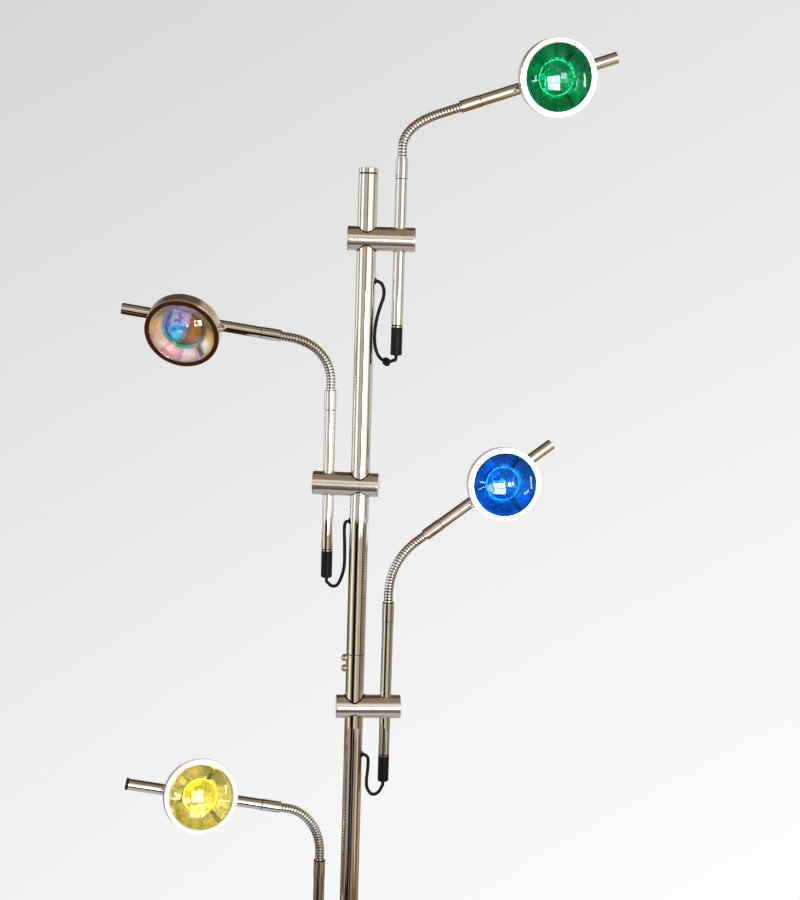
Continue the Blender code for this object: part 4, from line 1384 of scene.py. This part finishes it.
def line_curve(name, points):
    curve = bpy.data.curves.new(name, "CURVE")
    curve.dimensions = "3D"
    spline = curve.splines.new("POLY")
    spline.points.add(len(points) - 1)
    for target, point in zip(spline.points, points):
        target.co = (*point, 1.0)
    obj = bpy.data.objects.new(name, curve)
    bpy.context.scene.collection.objects.link(obj)
    return obj


def round_cord(name, points, rubber, resolution, closed=False):
    """A solid cord of the lead's thickness along a line."""
    obj = line_curve(name, points)
    obj.data.splines[0].use_cyclic_u = closed
    obj.data.bevel_depth = LEAD_RADIUS
    obj.data.bevel_resolution = resolution
    obj.data.use_fill_caps = not closed
    select_only(obj)
    bpy.ops.object.convert(target="MESH")
    obj = bpy.context.object
    obj.data.materials.append(rubber)
    smooth(obj, CORD_ANGLE)
    return obj


def neck_points(arm, foot, outwards):
    """The bent neck's middle line in the lamp, from its seat in the lower ferrule."""
    straight = FERRULE_SOCKET - SEAT_GAP + 2.0 * NECK_RADIUS
    count = 2 * NECK_RIBS
    step = NECK_LENGTH / count
    point = Vector(foot)
    points = [point.copy()]
    for index in range(count):
        share = ((index + 0.5) * step - straight) / (NECK_LENGTH - 2.0 * straight)
        share = min(max(share, 0.0), 1.0)
        turned_share = 1.0 - (1.0 - share) ** arm["bias"]
        heading = QUARTER - (QUARTER - arm["elevation"]) * turned_share
        point += step * (math.cos(heading) * outwards + up_by(math.sin(heading)))
        points.append(point.copy())
    return points


def bend_neck(number, arm, places, shape, steel):
    seated = FERRULE_SOCKET - SEAT_GAP
    foot = places["top"] + up_by(FERRULE_LENGTH - seated)
    guide = line_curve("neck_guide", neck_points(arm, foot, places["outwards"]))
    obj = placed(
        shape, f"ribbed_neck_{number}", Matrix.Identity(4), steel, f"arm_{number}"
    )
    obj.parent = None
    apply_modifier(obj, "CURVE", object=guide, deform_axis="POS_Z")
    bpy.data.objects.remove(guide)
    smooth(obj, DOME_ANGLE, level_faces=True)
    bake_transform(obj)
    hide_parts(f"gooseneck_{number}")


def catmull(before, start, end, after, share):
    return 0.5 * (
        2.0 * start
        + (end - before) * share
        + (2.0 * before - 5.0 * start + 4.0 * end - after) * share**2
        + (3.0 * start - before - 3.0 * end + after) * share**3
    )


def smooth_curve(points, steps):
    ends = [2.0 * points[0] - points[1]] + points + [2.0 * points[-1] - points[-2]]
    curve = []
    for before, start, end, after in zip(ends, ends[1:], ends[2:], ends[3:]):
        curve += [catmull(before, start, end, after, step / steps) for step in range(steps)]
    return curve + [points[-1]]


def thinned(line, spacing):
    """Points of a line at least this far apart, with both its ends."""
    kept = [line[0]]
    for point in line[1:-1]:
        if min((point - kept[-1]).length, (point - line[-1]).length) >= spacing:
            kept.append(point)
    return kept + [line[-1]]


def route_point(arm, clamp_height, index):
    out, back, up = arm["route"][index]
    return Vector((arm["side"] * out * MM, back * MM, clamp_height + up * MM))


def lead_line(arm, clamp_height, mouth):
    """The lead's middle line from inside the plug, round its free run, and into the pole."""
    side = arm["side"]
    top = mouth + up_by(LEAD_HIDDEN_LENGTH)
    below = mouth - up_by(LEAD_STRAIGHT_END)
    hole = clamp_height - arm["hole_drop"]
    entry = Vector((side * (POLE_RADIUS + LEAD_STRAIGHT_END), 0, hole))
    inside = Vector((side * (POLE_RADIUS - LEAD_END_INSIDE), 0, hole))
    free = [route_point(arm, clamp_height, index) for index in range(len(arm["route"]))]
    curve = smooth_curve([top, below] + free + [entry, inside], CURVE_STEPS)
    bent = thinned(curve[CURVE_STEPS:-CURVE_STEPS], LEAD_RADIUS)
    return [top] + bent + [inside], entry


def make_lead(number, arm, clamp_height, mouth, rubber):
    line, entry = lead_line(arm, clamp_height, mouth)
    obj = round_cord(f"lead_flex_{number}", line, rubber, LEAD_RESOLUTION)
    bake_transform(obj)
    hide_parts(f"lead_{number}")
    return obj, line


def make_knot(place, rubber):
    """An overhand knot pulled tight in the lead, as a three-lobed loop on itself."""
    frame_here = frame_at(place, KNOT_WAY)
    points = []
    for index in range(KNOT_STEPS):
        turn = math.tau * index / KNOT_STEPS
        across = KNOT_RADIUS * (math.sin(turn) + 2.0 * math.sin(2.0 * turn)) / 3.0
        up = KNOT_RADIUS * (math.cos(turn) - 2.0 * math.cos(2.0 * turn)) / 3.0
        points.append(frame_here @ Vector((across, up, -KNOT_CROSSING * math.sin(3.0 * turn))))
    obj = round_cord("lead_knot", points, rubber, KNOT_RESOLUTION, closed=True)
    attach(obj, "carrier_1")
    return obj


# The whole lamp


def make_camera():
    camera = bpy.data.cameras.new("camera")
    camera.sensor_width = SENSOR
    camera.lens = FOCAL_PIXELS * SENSOR / IMAGE_HEIGHT
    obj = bpy.data.objects.new("camera", camera)
    bpy.context.scene.collection.objects.link(obj)
    forward = Vector((0, math.cos(CAMERA_PITCH), -math.sin(CAMERA_PITCH)))
    right = Vector((1, 0, 0))
    up = right.cross(forward)
    image_right = right * math.cos(CAMERA_ROLL) + up * math.sin(CAMERA_ROLL)
    image_up = up * math.cos(CAMERA_ROLL) - right * math.sin(CAMERA_ROLL)
    matrix = Matrix((image_right, image_up, -forward)).transposed().to_4x4()
    matrix.translation = CAMERA_PLACE
    obj.matrix_world = matrix
    bpy.context.scene.camera = obj


def make_stand(looks):
    stand = "stand"
    unmoved = Matrix.Identity(4)
    cover = make_base_cover()
    keep_turned_place(cover)
    placed(
        cover, "base_shell", unmoved, looks["base"], stand, ["base_cover"], brushed=True
    )
    frame["nodes"]["base_weight"].data.materials.clear()
    frame["nodes"]["base_weight"].data.materials.append(looks["iron"])
    bore = POLE_RADIUS - POLE_WALL
    steel, shapes = looks["steel"], [cover]
    for node, name in (("pole_lower", "pole_tube_lower"), ("pole_upper", "pole_tube_upper")):
        low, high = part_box(node)
        shape = make_tube(name + "_shape", POLE_RADIUS, bore, low.z, high.z, POLE_SIDES, POLE_EDGE)
        placed(shape, name, unmoved, steel, stand, [node])
        shapes.append(shape)
    cap, knob = make_cap(), make_knob()
    placed(cap, "pole_top_cap", unmoved, steel, stand, ["pole_cap"])
    for which in ("upper", "lower"):
        matrix = frame_at(*joint_frame(f"knob_{which}_turn"))
        placed(
            knob, f"thumb_screw_{which}", matrix, looks["knob"], f"knob_{which}",
            [f"joint_knob_{which}"],
        )
    return shapes + [cap, knob]


def arm_frames(number):
    """The places and directions that one arm's pieces hang from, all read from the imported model."""
    clamp_place, _ = joint_frame(f"swivel_{number}")
    turn_place, _ = joint_frame(f"turn_{number}")
    seam, along = joint_frame(f"roll_{number}")
    tube_low, tube_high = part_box(f"arm_tube_{number}")
    ring = frame["nodes"][f"bezel_{number}"].data.vertices
    centre = middle(f"bezel_{number}")
    face_way = (centre - middle(f"lamp_{number}")).normalized()
    reach = max(face_way.dot(vertex.co) for vertex in ring) - face_way.dot(centre)
    face = centre + face_way * reach
    return {
        "clamp": frame_at(clamp_place, turn_place - clamp_place),
        "foot": Vector((turn_place.x, turn_place.y, tube_low.z)),
        "top": Vector((turn_place.x, turn_place.y, tube_high.z)),
        "seam": seam,
        "along": along.normalized(),
        "outwards": Vector((along.x, along.y, 0)).normalized(),
        "head": frame_at(face, face_way, along.normalized()),
        "upright": frame_at(face, face_way),
        "clamp_height": clamp_place.z,
    }


def place_all(number, shapes, looks, rows):
    """Places an arm's pieces: shape, name, place, look, body, unused slot, and the node it replaces."""
    for shape, name, matrix, look, body, slot, node in rows:
        placed(
            shapes[shape], f"{name}_{number}", matrix, looks[look], body,
            [f"{node}_{number}"] if node else (), brushed=look in BRUSHED_LOOKS,
        )


def make_head(number, places, shapes, looks):
    body = f"spot_{number}"
    head = places["head"]
    outer, rim, inner = HEAD_LOOKS[number]
    rows = (
        ("housing", "head_can", head, "wall", body, "satin_steel", "head_housing"),
        ("ring", "face_ring", head, "steel", body, "polished_steel", "bezel"),
        ("lens", "lens_dome", head, f"lens_{number}", body, LENS_SLOTS[number], "lens"),
        ("reflector", "reflector", head, outer, body, "lamp_reflector", "lamp"),
        ("lamp_rim", "lamp_rim", head, rim, body, "lamp_reflector", None),
        ("bowl", "lamp_bowl", head, inner, body, "lamp_reflector", None),
        ("capsule", "lamp_capsule", head, "capsule", body, "lamp_reflector", None),
    )
    place_all(number, shapes, looks, rows)
    for index, angle in enumerate(HEAD_CLIPS[number]):
        turned = places["upright"] @ Matrix.Rotation(angle - QUARTER, 4, "Z")
        name = f"lens_clip_{number}_{index + 1}"
        placed(shapes["clip"], name, turned, looks["clip"], body)
    towards_rod_end, turn = PIN_PLACES[number]
    turning = head.to_3x3() @ Matrix.Rotation(turn, 3, "Z")
    sideways = turning @ Vector((towards_rod_end, 0, 0))
    pin_place = head @ up_by(-PIN_DEPTH) + sideways * HEAD_RADIUS
    pin = ("pin", "head_pin", frame_at(pin_place, sideways), "steel", body, "polished_steel", None)
    place_all(number, shapes, looks, [pin])


def make_arm(number, arm, places, shapes, looks):
    carrier, foot, upright = f"carrier_{number}", f"foot_{number}", f"arm_{number}"
    wrist, spot = f"wrist_{number}", f"spot_{number}"
    clamp = places["clamp"]
    standing, top = frame_at(places["foot"], (0, 0, 1)), frame_at(places["top"], (0, 0, 1))
    rows = (
        ("clamp", "clamp_bar", clamp, "clamp", carrier, "satin_steel", "clamp"),
        ("pole_bush", "pole_bush", clamp, "plastic", carrier, "black_plastic", "clamp_bush"),
        ("arm_bush", "arm_bush", clamp, "plastic", carrier, "black_plastic", None),
        ("tube", "slide_tube", standing, "steel", upright, "polished_steel", "arm_tube"),
        ("plug", "foot_plug", standing, "plastic", foot, "black_plastic", "end_plug"),
        ("plug_ring", "foot_ring", standing, "steel", foot, "polished_steel", None),
        ("ferrule", "neck_foot", top, "steel", upright, "polished_steel", "lower_ferrule"),
    )
    place_all(number, shapes, looks, rows)
    bend_neck(number, arm, places, shapes["neck"], looks["neck"])
    back, rod = frame_at(places["seam"], -places["along"]), frame_at(places["seam"], places["along"])
    rows = [
        ("ferrule", "neck_end", back, "steel", wrist, "polished_steel", "upper_ferrule"),
        ("rod", "rod", rod, "steel", spot, "polished_steel", "head_rod"),
    ]
    if number == 4:
        rows.append(("end_cap", "rod_end_cap", rod, "plastic", spot, "black_plastic", None))
    place_all(number, shapes, looks, rows)
    make_head(number, places, shapes, looks)
    mouth = places["foot"] - up_by(PLUG_LENGTH)
    lead, line = make_lead(number, arm, places["clamp_height"], mouth, looks["rubber"])
    hole = frame_at(up_by(places["clamp_height"] - arm["hole_drop"]), (arm["side"], 0, 0))
    grommet = ("grommet", "lead_grommet", hole, "rubber", "stand", "black_rubber", None)
    place_all(number, shapes, looks, [grommet])
    extra = []
    if number == 1:
        knot_place = route_point(arm, places["clamp_height"], KNOT_POINT)
        extra = [make_knot(knot_place, looks["rubber"])]


# Surroundings


def card_material(name, colour, strength, glass_strength):
    """Light of one strength for metal, and of another where the front of a lens gives it back."""
    material = bpy.data.materials.new(name)
    material.use_nodes = True
    tree = material.node_tree
    tree.nodes.remove(tree.nodes["Principled BSDF"])
    path = add(tree, "LightPath")
    on_glass = maths(tree, "MULTIPLY", path["Is Singular Ray"], path["Is Reflection Ray"])
    behind = ranged(tree, path["Is Transmission Ray"], 1.0, BEHIND_GLASS)
    level = maths(tree, "MULTIPLY", ranged(tree, on_glass, strength, glass_strength), behind)
    seen = add(tree, "Emission", {"Color": colour, "Strength": level})["Emission"]
    if strength == 0:
        near = maths(tree, "LESS_THAN", path["Ray Length"], GLINT_REACH)
        clear = add(tree, "BsdfTransparent")["BSDF"]
        seen = either_shader(tree, maths(tree, "MULTIPLY", on_glass, near), clear, seen)
    fill(tree, tree.nodes["Material Output"], {"Surface": seen})
    return material


def make_card(name, corners, colour, strength, glass_strength):
    """A flat studio card that only reflections and what is seen through glass show."""
    deselect()
    bpy.ops.mesh.primitive_plane_add()
    obj = bpy.context.object
    obj.name = name
    for vertex, corner in zip(obj.data.vertices, (corners[0], corners[1], corners[3], corners[2])):
        vertex.co = corner
    obj.data.materials.append(card_material(name, colour, strength, glass_strength))
    obj.visible_camera = False
    obj.visible_diffuse = False
    obj.visible_shadow = False


def room_card(name, corners, colour, strength=1.0):
    make_card("card_" + name, corners, colour, strength, GLASS_SHARE * strength)


def polar(bearing, reach, height):
    turn = bearing * DEGREE
    return (reach * math.sin(turn), -reach * math.cos(turn), height)


def make_room():
    for name, (first, last, colour, strength) in WALLS.items():
        low = [polar(bearing, ROOM_REACH, 0) for bearing in (first, last)]
        high = [polar(bearing, ROOM_REACH, ROOM_HEIGHT) for bearing in (last, first)]
        room_card(name, low + high, colour, strength)
    for name, (first, last, near_colour, far_colour) in FLOORS.items():
        start, between, end = [
            [polar(bearing, reach, -FLOOR_DEPTH) for bearing in (first, last)]
            for reach in (NEAR_FLOOR, FAR_FLOOR, ROOM_REACH)
        ]
        room_card(name + "_near", start + between[::-1], near_colour)
        room_card(name + "_far", between + end[::-1], far_colour)
    for level, table in ((NEAR_FLOOR_HEIGHT, NEAR_FLOORS), (ROOM_HEIGHT, CEILINGS)):
        for name, (left, right, front, back, colour) in table.items():
            places = ((left, front), (right, front), (right, back), (left, back))
            room_card(name, [(*place, level) for place in places], colour)
    for name, (left, right, low, high, distance, colour, strength) in PANES.items():
        places = ((left, low), (right, low), (right, high), (left, high))
        room_card(name, [(across, -distance, up) for across, up in places], colour, strength)


def glint_place(upright, across, up):
    """Where a light stands that the camera sees at this place on a lens's dome."""
    ball = ball_radius(LENS_RIM, LENS_RISE)
    out = Vector((up * MM, -across * MM, 0))
    out.z = math.sqrt(ball**2 - out.length_squared)
    place = upright @ (out + up_by(LENS_RISE - RING_THICKNESS / 2 - ball))
    view = (place - Vector(CAMERA_PLACE)).normalized()
    return place + GLINT_DISTANCE * view.reflect(upright.to_3x3() @ out)


def make_glints(places):
    for name, (number, corners, (columns, rows), colour, strength) in GLINTS.items():
        upright = places[number]["upright"]
        window = [glint_place(upright, *spot) for spot in corners]
        if columns * rows == 1:
            make_card("glint_" + name, window, colour, 0, strength)
            continue
        for column in range(columns):
            for row in range(rows):
                pane = pane_corners(window, column, columns, row, rows)
                make_card(f"glint_{name}_{column}_{row}", pane, colour, 0, strength)


def pane_corners(window, column, columns, row, rows):
    """The corners of one pane of a window, with bars between its panes."""
    high_left, high_right, low_right, low_left = window
    left, right = (column + WINDOW_BAR) / columns, (column + 1 - WINDOW_BAR) / columns
    top, bottom = (row + WINDOW_BAR) / rows, (row + 1 - WINDOW_BAR) / rows
    return [
        high_left.lerp(high_right, across).lerp(low_left.lerp(low_right, across), down)
        for across, down in ((left, top), (right, top), (right, bottom), (left, bottom))
    ]


def make_floor():
    """A pale round floor that fades into the backdrop."""
    bpy.ops.mesh.primitive_circle_add(vertices=FLOOR_SIDES, radius=FLOOR_RADIUS, fill_type="NGON")
    floor = bpy.context.object
    floor.name = "studio_floor"
    material, tree, shader = new_material("studio_floor")
    reach = vector_maths(tree, "LENGTH", object_input(tree))
    fade = ranged(tree, reach, 1.0, 0.0, FLOOR_FADE_START, FLOOR_RADIUS, "SMOOTHSTEP")
    fill(tree, shader, {"Base Color": FLOOR_COLOUR, "Roughness": 0.9, "Alpha": fade})
    floor.data.materials.append(material)
    floor.visible_glossy = False
    floor.visible_transmission = False


def make_world():
    """An even grey-white backdrop for what is looked at, reflected or seen through, and soft light."""
    world = bpy.data.worlds.new("studio")
    bpy.context.scene.world = world
    world.use_nodes = True
    tree = world.node_tree
    tree.nodes.clear()
    slope = vector_maths(tree, "DOT_PRODUCT", add(tree, "TexCoord")["Generated"], BACKDROP_WAY)
    share = ranged(tree, slope, 0.0, 1.0, BACKDROP_DIM_AT, BACKDROP_BRIGHT_AT)
    colour = blended(tree, share, BACKDROP_DIM, BACKDROP_BRIGHT)
    backdrop = add(tree, "Background", {"Color": colour})["Background"]
    light = add(tree, "Background", {"Color": AMBIENT, "Strength": AMBIENT_STRENGTH})["Background"]
    path = add(tree, "LightPath")
    seen = maths(tree, "MAXIMUM", path["Is Camera Ray"], path["Is Glossy Ray"])
    seen = maths(tree, "MAXIMUM", seen, path["Is Transmission Ray"])
    add(tree, "OutputWorld", {"Surface": either_shader(tree, seen, light, backdrop)})


def make_lamps():
    for name, (place, size, power) in LAMPS.items():
        light = bpy.data.lights.new(name, "AREA")
        light.shape = "DISK"
        light.size = size
        light.energy = power
        obj = bpy.data.objects.new(name, light)
        bpy.context.scene.collection.objects.link(obj)
        obj.matrix_world = frame_at(Vector(place), Vector(place) - LAMPS_AIM)
        obj.visible_glossy = False
        obj.visible_transmission = False


def remove_shapes(shapes):
    for shape in shapes:
        bpy.data.objects.remove(shape)


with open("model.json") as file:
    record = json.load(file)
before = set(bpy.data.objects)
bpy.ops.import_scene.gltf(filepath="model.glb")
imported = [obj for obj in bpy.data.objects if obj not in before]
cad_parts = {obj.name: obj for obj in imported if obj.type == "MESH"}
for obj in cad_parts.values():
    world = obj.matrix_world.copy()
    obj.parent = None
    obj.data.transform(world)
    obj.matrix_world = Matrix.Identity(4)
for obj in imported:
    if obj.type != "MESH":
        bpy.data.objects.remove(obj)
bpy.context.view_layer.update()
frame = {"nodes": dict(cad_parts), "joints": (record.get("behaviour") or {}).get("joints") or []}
make_camera()
looks = make_looks()
remove_shapes(make_stand(looks))
shapes = make_shapes()
places = {number: arm_frames(number) for number in ARMS}
for number, arm in ARMS.items():
    make_arm(number, arm, places[number], shapes, looks)
remove_shapes(shapes.values())
make_room()
make_glints(places)
make_floor()
make_world()
make_lamps()
bpy.context.scene.view_settings.view_transform = "Standard"
